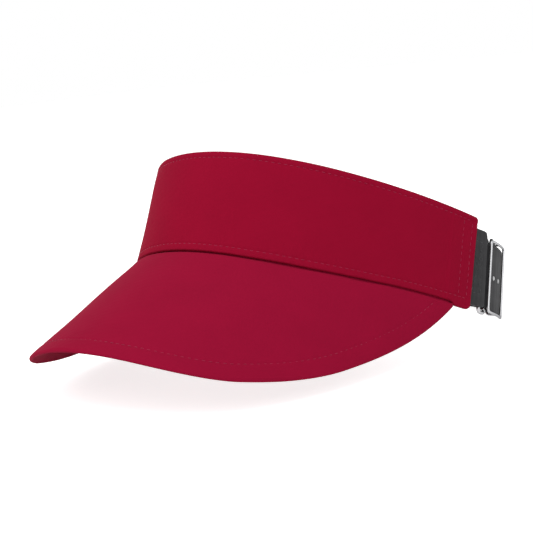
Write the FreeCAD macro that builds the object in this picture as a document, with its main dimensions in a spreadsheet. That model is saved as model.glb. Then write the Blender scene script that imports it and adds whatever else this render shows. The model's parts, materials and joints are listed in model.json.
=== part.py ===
"""Adjustable sun visor: a leaning cloth band with a sweatband, an arched cloth bill on a plastic
board, and an elastic back strap closed by a wire ring and a three-bar slider.

The hat frame has +X to the wearer's left, -Y to the front and +Z up the forehead, with the front
of the band's lower edge at z = 0.  Every piece is drawn in that frame and then given one shared
placement, which tips the visor back until it rests on its bill and its strap.
"""
import FreeCAD, Part
import math
import os

import Sketcher

# ---------------------------------------------------------------- driving dimensions (mm, degrees)
SIZES = {
    # band: plan of its outer face at z = 0, as a symmetric chain of tangent arcs
    "brow_reach": 95.0,         # head centre to the front of the band
    "front_radius": 70.3,
    "front_turn": 32.1,
    "temple_radius": 96.6,
    "temple_turn": 51.3,
    "rear_radius": 163.8,
    "hem_turn": 79.6,
    "wall_lean": 4.0,           # the band leans in towards its top
    "front_height": 49.6,
    "hem_top": 40.1,
    "hem_run": 105.0,           # front to rear hem, along Y
    "top_bow": 0.1,
    # cloth layers of the band
    "cloth": 0.7,
    "stiffener_cloth": 0.7,
    "lining_cloth": 0.5,
    "layer_gap": 0.15,
    "seam_allowance": 9.0,
    "hem_width": 17.0,
    "sweatband_top": 30.0,      # straight above the bill's surface
    "sweatband_foot": 3.6,      # and below it
    "sweatband_drop": 4.0,      # at least this far below the top edge
    "sweatband_thickness": 3.0,
    "sweatband_skin": 0.6,
    # bill: a ruled arch that slopes down to the front
    "bill_slope": 44.2,
    "crown_radius": 86.4,
    "crown_turn": 21.5,
    "shoulder_radius": 101.0,
    "shoulder_turn": 42.8,
    "skirt_radius": 130.6,
    "skirt_turn": 52.3,
    "side_radius": 97.5,         # where the bill runs back beside the band
    "side_turn": 84.0,
    "bill_reach": 58.1,         # beyond the front of the band, along Y
    "nose_radius": 77.1,
    "nose_turn": 59.0,
    "flank_radius": 157.8,
    "flank_turn": 77.1,
    "tail_radius": 332.0,
    "tail_turn": 89.1,
    "bill_cloth": 0.7,
    "board_thickness": 1.2,
    "board_inset": 3.0,
    "edge_seam_width": 2.2,
    # top stitching
    "thread": 0.25,
    "thread_lift": 0.05,        # clear of the cloth, so that the solids stay apart
    "stitch_width": 0.5,
    "top_stitch_drop": 3.0,
    "seam_stitch_rise": 3.5,    # straight above the bill's surface
    "stitch_clearance": 1.0,    # between a row's end and the row that it meets
    "bill_stitch_inset": 8.5,
    "hem_stitch_inset": 4.0,
    "hem_stitch_pitch": 5.5,
    # strap: the closure runs on one arc, then a flatter arc crosses the back
    "strap_width": 33.2,
    "strap_low": -2.6,
    "strap_rise": 0.29,         # the strap slopes up over the back, per mm along Y
    "low_rise_start": 49.0,     # where its lower edge starts to rise, along Y
    "high_rise_start": 78.0,    # and its upper edge
    "strap_cloth": 1.3,
    "strap_inset": 3.6,         # strap's outer face inside the band's outer face, at z = 0
    "strap_overlap": 14.0,      # sewn inside the hem
    "closure_radius": 63.8,
    "closure_turn": 150.0,
    # tab: wider than the strap, with its top corner cut down to the strap's width
    "tab_extra": 4.6,
    "tab_cut_start": 3.2,       # before the ring's near bar
    "tab_cut_end": 1.7,
    # wire ring and slider
    "fit_gap": 0.3,
    "ring_wire": 2.0,
    "ring_corner": 2.0,
    "fold_gap": 0.6,            # between the folds round the ring's two bars
    "ring_edge_gap": 1.0,
    "tab_bar_turn": 91.0,
    "fold_length": 1.0,
    "end_gap": 0.6,
    "slider_plate": 1.6,
    "slider_bar": 2.0,
    "slider_span": 21.9,
    "slider_turn": 104.1,
    "slider_edge_gap": 0.5,
    "slider_rail": 1.8,
    "middle_bar": 1.8,
    "loop_tail": 1.0,
    # markers on the strap and the box stitch
    "dot_diameter": 2.2,
    "dot_height": 0.2,
    "dot_pitch": 8.0,
    "dot_lift": 0.02,
    "box_margin": 6.0,          # below and above the box stitch
    "box_end_margin": 1.5,
    "box_shift": 0.8,           # towards the ring
}
CUT = 400.0                     # longer than the visor, for cuts that go right through
BELOW = -110.0                  # lower than any point of the visor in the hat frame
ABOVE = 130.0                   # higher than any uncut point of the bill's arch
FRONT_SPARE, REAR_SPARE = 10.0, 20.0    # how far side-view cuts run past the band
OVERLAP = 0.1                   # lets two features of one body fuse

doc = FreeCAD.newDocument("sun_visor")
sheet = doc.addObject("Spreadsheet::Sheet", "Sizes")
for row, (alias, value) in enumerate(SIZES.items(), start=1):
    sheet.set("A%d" % row, alias)
    sheet.set("B%d" % row, str(value))
    sheet.setAlias("B%d" % row, alias)
doc.recompute()


def size(alias):
    """A driving dimension, as it stands in the sheet."""
    return float(sheet.get(alias))


LEAN = math.tan(math.radians(size("wall_lean")))
SLOPE = math.radians(size("bill_slope"))


# ---------------------------------------------------------------- chains of tangent arcs
class Chain:
    """Tangent arcs from a start point, first heading along +x and turning left.

    turns are the headings, in degrees, at which each arc ends.  The chain is mirrored about x = 0,
    so headings run from minus the last turn to the last turn.
    """

    def __init__(self, start_y, radii, turns):
        self.radii = radii
        self.turns = [math.radians(turn) for turn in turns]
        centre = (0.0, start_y + radii[0])
        self.centres = [centre]
        for before, after, turn in zip(radii, radii[1:], self.turns):
            step = before - after
            centre = (centre[0] + step * math.sin(turn), centre[1] - step * math.cos(turn))
            self.centres.append(centre)

    def arcs(self, inward, first, last):
        """(centre, radius, first heading, last heading) of each arc between two headings."""
        knots = [-turn for turn in reversed(self.turns[:-1])] + self.turns[:-1]
        limits = [-math.pi] + knots + [math.pi]
        order = list(range(len(self.radii) - 1, 0, -1)) + list(range(len(self.radii)))
        found = []
        for index, low, high in zip(order, limits, limits[1:]):
            low, high = max(low, first), min(high, last)
            if high - low > 1e-6:
                side = -1.0 if high <= 0 and index else 1.0
                x, y = self.centres[index]
                found.append(((side * x, y), self.radii[index] - inward, low, high))
        return found

    def point(self, heading, inward=0.0):
        """The point at a heading, moved inward, that is to the left."""
        for centre, radius, low, high in self.arcs(inward, heading - 1e-3, heading + 1e-3):
            if low - 1e-3 <= heading <= high + 1e-3:
                return around(centre, radius, heading)
        raise ValueError("no arc at heading %g" % heading)


def around(centre, radius, heading):
    """The point of a circle where its tangent has the given heading."""
    return (centre[0] + radius * math.sin(heading), centre[1] - radius * math.cos(heading))


plan = Chain(-size("brow_reach"),
             [size("front_radius"), size("temple_radius"), size("rear_radius")],
             [size("front_turn"), size("temple_turn"), size("hem_turn")])
arch = Chain(0.0,
             [size("crown_radius"), size("shoulder_radius"), size("skirt_radius"),
              size("side_radius")],
             [size("crown_turn"), size("shoulder_turn"), size("skirt_turn"), size("side_turn")])
outline = Chain(-size("brow_reach") - size("bill_reach"),
                [size("nose_radius"), size("flank_radius"), size("tail_radius")],
                [size("nose_turn"), size("flank_turn"), size("tail_turn")])
HEM = math.radians(size("hem_turn"))

# the strap: a closure arc that leaves the hem along the band, and a flatter arc over the back
strap_start = plan.point(HEM, size("strap_inset"))
closure_centre = around(strap_start, -size("closure_radius"), HEM)
CLOSURE_END = math.radians(size("closure_turn"))
closure_end = around(closure_centre, size("closure_radius"), CLOSURE_END)
back_radius = closure_end[0] / math.sin(CLOSURE_END)
back_centre = (0.0, around(closure_end, -back_radius, CLOSURE_END)[1])


# ---------------------------------------------------------------- sketches
def new_body(label):
    body = doc.addObject("PartDesign::Body", label)
    body.Label = label
    return body


def new_sketch(body, name, plane, offset=None):
    """A sketch on one of the body's own origin planes."""
    sketch = body.newObject("Sketcher::SketchObject", body.Label + "_" + name)
    support = [item for item in body.Origin.OriginFeatures if item.Role == plane][0]
    sketch.AttachmentSupport = [(support, "")]
    sketch.MapMode = "FlatFace"
    if offset is not None:
        sketch.AttachmentOffset = offset
    return sketch


def level(body, name, height):
    """A horizontal sketch whose height is an expression on the sheet, or a plain number."""
    sketch = new_sketch(body, name, "XY_Plane")
    if isinstance(height, str):
        sketch.setExpression("AttachmentOffset.Base.z", height)
    else:
        sketch.AttachmentOffset = FreeCAD.Placement(FreeCAD.Vector(0, 0, height),
                                                    FreeCAD.Rotation())
    return sketch


def bill_section(body, name):
    """A sketch square to the bill's rulings, through the front of the band's lower edge.

    Its x is the hat's X and its y stands square to the bill's surface.
    """
    offset = FreeCAD.Placement(FreeCAD.Vector(0, 0, size("brow_reach")),
                               FreeCAD.Rotation(FreeCAD.Vector(1, 0, 0), math.degrees(SLOPE)))
    return new_sketch(body, name, "XZ_Plane", offset)


def vector(point):
    return FreeCAD.Vector(point[0], point[1], 0)


def arc_edge(centre, radius, first, last):
    circle = Part.Circle(vector(centre), FreeCAD.Vector(0, 0, 1), radius)
    return Part.ArcOfCircle(circle, first - math.pi / 2, last - math.pi / 2)


def draw_loop(sketch, edges):
    """Adds edges that run head to tail, all drawn forward, and pins each joint."""
    first = sketch.GeometryCount
    sketch.addGeometry(edges, False)
    count = len(edges)
    for index in range(count):
        after = (index + 1) % count
        tail = edges[index].EndPoint
        here = 2
        if tail.distanceToPoint(edges[after].StartPoint) > 1e-4 and \
                tail.distanceToPoint(edges[after].EndPoint) > 1e-4:
            here = 1
            tail = edges[index].StartPoint
        there = 1 if tail.distanceToPoint(edges[after].StartPoint) < 1e-4 else 2
        sketch.addConstraint(Sketcher.Constraint("Coincident", first + index, here,
                                                 first + after, there))


def draw_polygon(sketch, points):
    corners = [vector(point) for point in points]
    draw_loop(sketch, [Part.LineSegment(a, b) for a, b in zip(corners, corners[1:] + corners[:1])])


def draw_rectangle(sketch, left, bottom, right, top):
    draw_polygon(sketch, [(left, bottom), (right, bottom), (right, top), (left, top)])


def draw_circle(sketch, centre, diameter, expression=None):
    index = sketch.GeometryCount
    sketch.addGeometry(Part.Circle(vector(centre), FreeCAD.Vector(0, 0, 1), diameter / 2), False)
    sketch.addConstraint(Sketcher.Constraint("Diameter", index, diameter))
    if expression:
        sketch.setExpression("Constraints[%d]" % (sketch.ConstraintCount - 1), expression)


def strip_edges(outer, inner):
    """Edges of a closed strip between two runs of arcs with the same headings."""
    edges = [arc_edge(*arc) for arc in outer]
    back = [arc_edge(*arc) for arc in reversed(inner)]
    start_out, end_out = vector(around(*outer[0][:3])), vector(around(outer[-1][0], outer[-1][1],
                                                                      outer[-1][3]))
    start_in, end_in = vector(around(*inner[0][:3])), vector(around(inner[-1][0], inner[-1][1],
                                                                    inner[-1][3]))
    return edges + [Part.LineSegment(end_out, end_in)] + back + [Part.LineSegment(start_in, start_out)]


def flipped(edges):
    """The same edges mirrored in the sketch's x axis, for the arch, which falls to each side."""
    mirrored = []
    for edge in edges:
        if isinstance(edge, Part.LineSegment):
            mirrored.append(Part.LineSegment(FreeCAD.Vector(edge.StartPoint.x, -edge.StartPoint.y, 0),
                                             FreeCAD.Vector(edge.EndPoint.x, -edge.EndPoint.y, 0)))
        else:
            circle = Part.Circle(FreeCAD.Vector(edge.Center.x, -edge.Center.y, 0),
                                 FreeCAD.Vector(0, 0, 1), edge.Radius)
            mirrored.append(Part.ArcOfCircle(circle, -edge.LastParameter, -edge.FirstParameter))
    return mirrored


# ---------------------------------------------------------------- features
def pad(body, sketch, length, midplane=False):
    feature = body.newObject("PartDesign::Pad", sketch.Label + "_pad")
    feature.Profile = sketch
    feature.Midplane = midplane
    if isinstance(length, str):
        feature.setExpression("Length", length)
    else:
        feature.Length = length
    sketch.Visibility = False
    return feature


def pocket_through(body, sketch):
    """Cuts a sketch's region out of the body, both ways and right through."""
    feature = body.newObject("PartDesign::Pocket", sketch.Label + "_cut")
    feature.Profile = sketch
    feature.Midplane = True
    feature.Length = 2 * CUT
    sketch.Visibility = False
    return feature


def lean_loft(body, kind, low_sketch, high_sketch):
    feature = body.newObject("PartDesign::" + kind, body.Label + "_" + kind.lower())
    feature.Profile = low_sketch
    feature.Sections = [high_sketch]
    feature.Ruled = True
    return feature


def leaning_strip(body, name, outside, inside, first, last):
    """The band's wall between two depths below its outer face, from one heading to another."""
    sketches = []
    for place, height in (("low", BELOW), ("high", ABOVE)):
        sketch = level(body, name + "_" + place, height)
        shift = height * LEAN
        draw_loop(sketch, strip_edges(plan.arcs(outside + shift, first, last),
                                      plan.arcs(inside + shift, first, last)))
        sketches.append(sketch)
    return lean_loft(body, "AdditiveLoft", *sketches)


def cut_above_arch(body, lift):
    """Removes what stands more than lift straight above the bill's surface."""
    cut_at_arch(body, "over_arch", 0.0, lift, CUT)


def cut_below_arch(body, rise, lift=0.0):
    """Removes what lies below the bill's surface, moved out square to itself and then lifted."""
    cut_at_arch(body, "under_arch", rise, lift, -CUT)


def cut_at_arch(body, name, rise, lift, far):
    sketch = bill_section(body, name)
    half = math.radians(size("side_turn"))
    up = -lift * math.cos(SLOPE)
    runs = [((centre[0], centre[1] + up), radius, low, high)
            for centre, radius, low, high in arch.arcs(-rise, -half, half)]
    edges = flipped([arc_edge(*arc) for arc in runs])
    right = around(runs[-1][0], runs[-1][1], half)
    corner = FreeCAD.Vector(right[0], -right[1], 0)
    mirror = FreeCAD.Vector(-corner.x, corner.y, 0)
    reach = CUT / 2
    outer = [corner, FreeCAD.Vector(reach, corner.y, 0), FreeCAD.Vector(reach, far, 0),
             FreeCAD.Vector(-reach, far, 0), FreeCAD.Vector(-reach, corner.y, 0), mirror]
    draw_loop(sketch, edges + [Part.LineSegment(a, b) for a, b in zip(outer, outer[1:])])
    pocket_through(body, sketch)


def top_height(y, drop):
    """Height of the band's top edge at a place along Y, less a drop."""
    share = (y + size("brow_reach")) / size("hem_run")
    straight = size("front_height") + share * (size("hem_top") - size("front_height"))
    return straight + 4 * size("top_bow") * share * (1 - share) - drop


def top_region(body, name, drop, far):
    """A side-view region bounded by the band's top edge, less a drop, and a far height."""
    sketch = new_sketch(body, name, "YZ_Plane")
    front = -size("brow_reach") - FRONT_SPARE
    rear = -size("brow_reach") + size("hem_run") + REAR_SPARE
    middle = (front + rear) / 2
    points = [FreeCAD.Vector(y, top_height(y, drop), 0) for y in (front, middle, rear)]
    circle = Part.Circle(*points)
    angles = sorted(math.atan2(point.y - circle.Center.y, point.x - circle.Center.x)
                    for point in (points[0], points[2]))
    upright_circle = Part.Circle(circle.Center, FreeCAD.Vector(0, 0, 1), circle.Radius)
    edge = Part.ArcOfCircle(upright_circle, *angles)
    corners = [FreeCAD.Vector(rear, far, 0), FreeCAD.Vector(front, far, 0)]
    ends = [points[2]] + corners + [points[0]]
    draw_loop(sketch, [edge] + [Part.LineSegment(a, b) for a, b in zip(ends, ends[1:])])
    return sketch


def wall_layer(label, outside, inside, drop, rise, end_inset=0.0, lifts=None):
    """One cloth layer of the band.

    outside and inside are depths below the band's outer face, drop and rise keep it short of the
    top edge and of the bill, and end_inset keeps it short of both rear hems.  lifts, if given, are
    the heights straight above the bill's surface between which it lies.
    """
    body = new_body(label)
    last = HEM - end_inset / size("rear_radius")
    leaning_strip(body, "wall", outside, inside, -last, last)
    pocket_through(body, top_region(body, "over_top", drop, 2 * ABOVE))
    if lifts:
        cut_below_arch(body, rise, lifts[0])
        cut_above_arch(body, lifts[1])
    else:
        cut_below_arch(body, rise)
    return body


def outline_region(body, name, inset, outside):
    """The plan region inside the bill's outline, less an inset, or all that lies outside it."""
    sketch = level(body, name, 0.0)
    half = math.radians(size("tail_turn"))
    runs = outline.arcs(inset, -half, half)
    edges = [arc_edge(*arc) for arc in runs]
    right = vector(around(runs[-1][0], runs[-1][1], half))
    left = FreeCAD.Vector(-right.x, right.y, 0)
    draw_loop(sketch, edges + [Part.LineSegment(right, left)])
    if outside:
        draw_rectangle(sketch, -CUT, -CUT, CUT, CUT)
    return sketch


def cut_head(body, depth):
    """Removes what lies inside the band's wall at a depth below its outer face."""
    sketches = []
    for place, height in (("head_low", BELOW), ("head_high", ABOVE)):
        sketch = level(body, place, height)
        runs = plan.arcs(depth + height * LEAN, -HEM, HEM)
        edges = [arc_edge(*arc) for arc in runs]
        right = vector(around(runs[-1][0], runs[-1][1], HEM))
        far = FreeCAD.Vector(right.x, CUT / 2, 0)
        corners = [right, far, FreeCAD.Vector(-far.x, far.y, 0),
                   FreeCAD.Vector(-right.x, right.y, 0)]
        draw_loop(sketch, edges + [Part.LineSegment(a, b) for a, b in zip(corners, corners[1:])])
        sketches.append(sketch)
    lean_loft(body, "SubtractiveLoft", *sketches)


def bill_layer(label, upper, lower, rim_inset, root_depth, rim_width=None):
    """One layer of the bill between two depths square to its surface."""
    body = new_body(label)
    section = bill_section(body, "section")
    half = math.radians(size("side_turn"))
    draw_loop(section, flipped(strip_edges(arch.arcs(upper, -half, half),
                                           arch.arcs(lower, -half, half))))
    pad(body, section, 2 * size("hem_run") / math.cos(SLOPE), midplane=True)
    pocket_through(body, outline_region(body, "beyond_rim", rim_inset, True))
    cut_head(body, root_depth)
    if rim_width is not None:
        pocket_through(body, outline_region(body, "within_rim", rim_inset + rim_width, False))
    return body


# ---------------------------------------------------------------- band
cloth = size("cloth")
gap = size("layer_gap")
stiffener_top = cloth + gap
stiffener_foot = stiffener_top + size("stiffener_cloth")
lining_top = stiffener_foot + gap
lining_foot = lining_top + size("lining_cloth")
band_top = lining_foot + gap
skin = size("sweatband_skin")

wall_layer("front_panel", 0.0, cloth, 0.0, gap)
wall_layer("panel_stiffener", stiffener_top, stiffener_foot, size("seam_allowance") + gap,
           gap, size("hem_width"))
wall_layer("top_seam_allowance", stiffener_top, stiffener_foot, gap,
           gap, size("hem_width"))
wall_layer("panel_lining", lining_top, lining_foot, gap, gap, size("hem_width"))
band_foot, band_crest = -size("sweatband_foot"), size("sweatband_top")
wall_layer("sweatband_cover", band_top, band_top + size("sweatband_thickness"),
           size("sweatband_drop"), 0.0, size("hem_width"), (band_foot, band_crest))
wall_layer("sweatband_foam", band_top + skin, band_top + size("sweatband_thickness") - skin,
           size("sweatband_drop") + skin, 0.0, size("hem_width") + skin,
           (band_foot + skin, band_crest - skin))


def keep_below_top(body, drop):
    """Trims a layer along a line under the band's top edge, taking away what lies below it."""
    pocket_through(body, top_region(body, "under_line", drop, BELOW))


keep_below_top(doc.getObject("top_seam_allowance"), size("seam_allowance"))


def hollow(body, wall):
    """Opens the sealed space in the sweatband's cover that its foam fills."""
    core = wall_layer(body.Label + "_core", band_top + wall,
                      band_top + size("sweatband_thickness") - wall, size("sweatband_drop") + wall,
                      0.0, size("hem_width") + wall, (band_foot + wall, band_crest - wall))
    tool = body.newObject("PartDesign::Boolean", body.Label + "_hollow")
    tool.Type = "Cut"
    tool.setObjects([core])


hollow(doc.getObject("sweatband_cover"), skin - gap)


def end_facing(label, side, strap_layers):
    """The turned-in cloth that covers the strap's sewn end inside one rear hem."""
    body = new_body(label)
    # the strap curves more than the band, so its sewn end stands further in than the hem does
    curve = size("strap_overlap") ** 2 / 2 * (1 / size("closure_radius") - 1 / size("rear_radius"))
    outside = size("strap_inset") + strap_layers * size("strap_cloth") + curve + size("fit_gap")
    last = HEM - gap / size("rear_radius")
    first = HEM - (size("hem_width") - gap) / size("rear_radius")
    if side < 0:
        first, last = -last, -first
    outside += size("strap_low") * -LEAN
    leaning_strip(body, "facing", outside, outside + size("lining_cloth"), first, last)
    pocket_through(body, top_region(body, "over_top", gap, 2 * ABOVE))
    under = new_sketch(body, "under_strap", "YZ_Plane")
    draw_rectangle(under, -CUT / 2, BELOW, CUT / 2, size("strap_low"))
    pocket_through(body, under)
    return body


end_facing("left_end_facing", 1, 2)
end_facing("right_end_facing", -1, 1)

# ---------------------------------------------------------------- bill
bill_cloth = size("bill_cloth")
board_top = bill_cloth + gap
board_foot = board_top + size("board_thickness")
under_top = board_foot + gap
bill_root = band_top - gap
bill_layer("bill_cover_top", 0.0, bill_cloth, 0.0, bill_root)
bill_layer("bill_board", board_top, board_foot, size("board_inset"), bill_root)
bill_layer("bill_cover_under", under_top, under_top + bill_cloth, 0.0, bill_root)
bill_layer("bill_edge_seam", board_top, board_foot, gap, bill_root, size("edge_seam_width"))

# ---------------------------------------------------------------- top stitching
thread_foot = size("thread_lift")
thread_crest = thread_foot + size("thread")
stitch = size("stitch_width")


def wall_thread(body, name, first, last):
    """Thread laid just proud of the band's outer face, from one heading to another."""
    leaning_strip(body, name, -thread_crest, -thread_foot, first, last)


row_end = HEM - size("hem_stitch_inset") / size("rear_radius")
top_row = new_body("top_edge_stitching")
wall_thread(top_row, "thread", -row_end, row_end)
pocket_through(top_row, top_region(top_row, "over_line", size("top_stitch_drop"), 2 * ABOVE))
keep_below_top(top_row, size("top_stitch_drop") + stitch)
seam_row = new_body("seam_stitching")
wall_thread(seam_row, "thread", -row_end, row_end)
cut_above_arch(seam_row, size("seam_stitch_rise") + stitch)
cut_below_arch(seam_row, 0.0, size("seam_stitch_rise"))


def hem_rows(label, side):
    """The two upright rows that hold one rear hem."""
    body = new_body(label)
    for number in range(2):
        inset = size("hem_stitch_inset") + number * size("hem_stitch_pitch")
        last = HEM - inset / size("rear_radius")
        first = last - stitch / size("rear_radius")
        if side < 0:
            first, last = -last, -first
        wall_thread(body, "row%d" % number, first, last)
    spare = stitch + size("stitch_clearance")
    pocket_through(body, top_region(body, "over_line", size("top_stitch_drop") + spare, 2 * ABOVE))
    cut_below_arch(body, 0.0, size("seam_stitch_rise") + spare)


hem_rows("left_hem_stitching", 1)
hem_rows("right_hem_stitching", -1)

bill_layer("bill_stitching", -thread_crest, -thread_foot, size("bill_stitch_inset"),
           -size("seam_stitch_rise"), stitch)


# ---------------------------------------------------------------- strap and closure
def strap_edges(outer, thick):
    """Edges of a strip of strap: an outer run of arcs and the same run moved inward."""
    return strip_edges(outer, [(centre, radius - thick, low, high)
                               for centre, radius, low, high in outer])


def upright(body, name):
    """A horizontal sketch at the strap's lower edge."""
    return level(body, name, "Sizes.strap_low")


def turn_of(length, radius=None):
    """The angle that a length takes up along the closure arc."""
    return length / (radius or size("closure_radius"))


strap_cloth = size("strap_cloth")
closure = size("closure_radius")
fit = size("fit_gap")
TAB_BAR = math.radians(size("tab_bar_turn"))
eyelet = size("ring_wire") / 2 + fit + strap_cloth        # outside radius of a fold over a bar
STRAP_BAR = TAB_BAR + turn_of(2 * eyelet + size("fold_gap"), closure - strap_cloth)
bar_circle = closure - eyelet                             # the ring's bars lie on this radius
return_depth = strap_cloth + 2 * fit + size("ring_wire")  # the inner layer lies this far inside
FOLD_END = STRAP_BAR + turn_of(size("fold_length"))
SEWN = HEM - turn_of(size("strap_overlap"))


def closure_point(radius, heading):
    return around(closure_centre, radius, heading)


# tab: two layers sewn together, opened round the ring's near bar
tab = new_body("ring_tab")
tab_plate = upright(tab, "plate")
draw_loop(tab_plate, strap_edges([(closure_centre, closure, SEWN, TAB_BAR)], 2 * strap_cloth))
pad(tab, tab_plate, "Sizes.strap_width + Sizes.tab_extra")
tab_corner = new_sketch(tab, "corner", "YZ_Plane")
STRAP_TOP = size("strap_low") + size("strap_width")
bar_y = closure_point(closure, TAB_BAR)[1]
draw_polygon(tab_corner, [(bar_y - size("tab_cut_end"), STRAP_TOP), (CUT, STRAP_TOP), (CUT, CUT),
                          (bar_y - size("tab_cut_start"), CUT),
                          (bar_y - size("tab_cut_start"), STRAP_TOP + size("tab_extra"))])
pocket_through(tab, tab_corner)
tab_eye = upright(tab, "eyelet")
draw_circle(tab_eye, closure_point(bar_circle, TAB_BAR), 2 * eyelet,
            "Sizes.ring_wire + 2 * Sizes.fit_gap + 2 * Sizes.strap_cloth")
pad(tab, tab_eye, "Sizes.strap_width")
tab_hole = upright(tab, "bar_hole")
draw_circle(tab_hole, closure_point(bar_circle, TAB_BAR), size("ring_wire") + 2 * fit,
            "Sizes.ring_wire + 2 * Sizes.fit_gap")
pocket_through(tab, tab_hole)

# fold: the strap turns back round the ring's far bar
fold = new_body("strap_fold")
fold_layers = upright(fold, "layers")
cap_centre = closure_point(bar_circle, STRAP_BAR)


def fold_cap(radius):
    """The half circle of a fold that opens along the closure arc."""
    circle = Part.Circle(vector(cap_centre), FreeCAD.Vector(0, 0, 1), radius)
    outward = STRAP_BAR - math.pi / 2
    return Part.ArcOfCircle(circle, outward + math.pi, outward + 2 * math.pi)


def upright_arc(radius, first, last):
    return arc_edge(closure_centre, radius, first, last)


def upright_line(radius_a, radius_b, heading):
    return Part.LineSegment(vector(closure_point(radius_a, heading)),
                            vector(closure_point(radius_b, heading)))


outer_skin, inner_skin = closure, closure - return_depth - strap_cloth
draw_loop(fold_layers, [
    upright_arc(outer_skin, STRAP_BAR, FOLD_END),
    upright_line(outer_skin, outer_skin - strap_cloth, FOLD_END),
    upright_arc(outer_skin - strap_cloth, STRAP_BAR, FOLD_END),
    fold_cap(size("ring_wire") / 2 + fit),
    upright_arc(inner_skin + strap_cloth, STRAP_BAR, FOLD_END),
    upright_line(inner_skin + strap_cloth, inner_skin, FOLD_END),
    upright_arc(inner_skin, STRAP_BAR, FOLD_END),
    fold_cap(eyelet),
])
pad(fold, fold_layers, "Sizes.strap_width")

# back strap: from the fold round the back and into the right hem
back = new_body("back_strap")
back_plan = upright(back, "plan")
back_start = FOLD_END + turn_of(size("end_gap"))
mirror_centre = (-closure_centre[0], closure_centre[1])
back_run = [
    (closure_centre, closure, back_start, CLOSURE_END),
    (back_centre, back_radius, CLOSURE_END, 2 * math.pi - CLOSURE_END),
    (mirror_centre, closure, 2 * math.pi - CLOSURE_END, 2 * math.pi - SEWN),
]
draw_loop(back_plan, strap_edges(back_run, strap_cloth))
pad(back, back_plan, ABOVE)


def sloped_cut(body, name, start, level_z, far):
    """Cuts away one side of a line that is level up to a place along Y and then rises."""
    sketch = new_sketch(body, name, "YZ_Plane")
    rear = level_z + size("strap_rise") * (CUT - start)
    draw_polygon(sketch, [(-CUT, level_z), (start, level_z), (CUT, rear), (CUT, far), (-CUT, far)])
    pocket_through(body, sketch)


sloped_cut(back, "over_strap", size("high_rise_start"), STRAP_TOP, CUT)
sloped_cut(back, "under_strap", size("low_rise_start"), size("strap_low"), -CUT)

# slider: two outer bars joined by rails past the strap's edges, and a middle bar under the strap
SLIDER = math.radians(size("slider_turn"))
NEAR_BAR = SLIDER - turn_of(size("slider_span") / 2)
FAR_BAR = SLIDER + turn_of(size("slider_span") / 2)
bar_half = turn_of(size("slider_bar") / 2)
plate_low, plate_high = closure + fit, closure + fit + size("slider_plate")
loop_eye = size("middle_bar") / 2 + fit + strap_cloth
middle_circle = closure - strap_cloth - fit - loop_eye
slider_height = "Sizes.strap_width + 2 * Sizes.slider_edge_gap + 2 * Sizes.slider_rail"
slider_low = "Sizes.strap_low - Sizes.slider_edge_gap - Sizes.slider_rail"


def sector(inner_radius, outer_radius, first, last):
    return strip_edges([(closure_centre, outer_radius, first, last)],
                       [(closure_centre, inner_radius, first, last)])


slider = new_body("slider_frame")
rails = level(slider, "rails", slider_low)
draw_loop(rails, sector(plate_low, plate_high, NEAR_BAR - bar_half, FAR_BAR + bar_half))
pad(slider, rails, slider_height)
legs = level(slider, "legs", slider_low)
leg_half = turn_of(size("middle_bar") / 2, middle_circle)
draw_loop(legs, sector(middle_circle, plate_high - OVERLAP, SLIDER - leg_half, SLIDER + leg_half))
pad(slider, legs, slider_height)
window = upright(slider, "window")
window.setExpression("AttachmentOffset.Base.z", "Sizes.strap_low - Sizes.slider_edge_gap")
draw_loop(window, sector(middle_circle - size("middle_bar"), plate_high + OVERLAP,
                         NEAR_BAR + bar_half, FAR_BAR - bar_half))
opening = slider.newObject("PartDesign::Pocket", "slider_frame_window_cut")
opening.Profile = window
opening.Reversed = True
opening.setExpression("Length", "Sizes.strap_width + 2 * Sizes.slider_edge_gap")
middle = level(slider, "middle_bar", slider_low)
draw_circle(middle, closure_point(middle_circle, SLIDER), size("middle_bar"), "Sizes.middle_bar")
pad(slider, middle, slider_height)

# loop: the strap's end sewn round the slider's middle bar
loop = new_body("slider_loop")
LOOP_TAIL = SLIDER - turn_of(loop_eye + size("loop_tail"), middle_circle)
tail = upright(loop, "tail")
draw_loop(tail, sector(inner_skin, inner_skin + strap_cloth, LOOP_TAIL, SLIDER))
pad(loop, tail, "Sizes.strap_width")
eye = upright(loop, "eye")
draw_circle(eye, closure_point(middle_circle, SLIDER), 2 * loop_eye,
            "Sizes.middle_bar + 2 * Sizes.fit_gap + 2 * Sizes.strap_cloth")
pad(loop, eye, "Sizes.strap_width")
eye_hole = upright(loop, "bar_hole")
draw_circle(eye_hole, closure_point(middle_circle, SLIDER), size("middle_bar") + 2 * fit,
            "Sizes.middle_bar + 2 * Sizes.fit_gap")
pocket_through(loop, eye_hole)

# return layer: between the fold's inner end and the loop's tail
return_layer = new_body("return_strap")
return_plan = upright(return_layer, "plan")
return_gap = turn_of(size("end_gap"), inner_skin)
draw_loop(return_plan, sector(inner_skin, inner_skin + strap_cloth, FOLD_END + return_gap,
                              LOOP_TAIL - return_gap))
pad(return_layer, return_plan, "Sizes.strap_width")


# ---------------------------------------------------------------- wire ring
def chord_frame(first, last, radius):
    """Placement of an upright plane on the chord between two bars: local x along the chord."""
    a, b = closure_point(radius, first), closure_point(radius, last)
    along = math.atan2(b[1] - a[1], b[0] - a[0])
    turn = FreeCAD.Rotation(FreeCAD.Vector(0, 0, 1), math.degrees(along))
    return FreeCAD.Placement(FreeCAD.Vector((a[0] + b[0]) / 2, (a[1] + b[1]) / 2,
                                            size("strap_low") + size("strap_width") / 2), turn)


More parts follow.
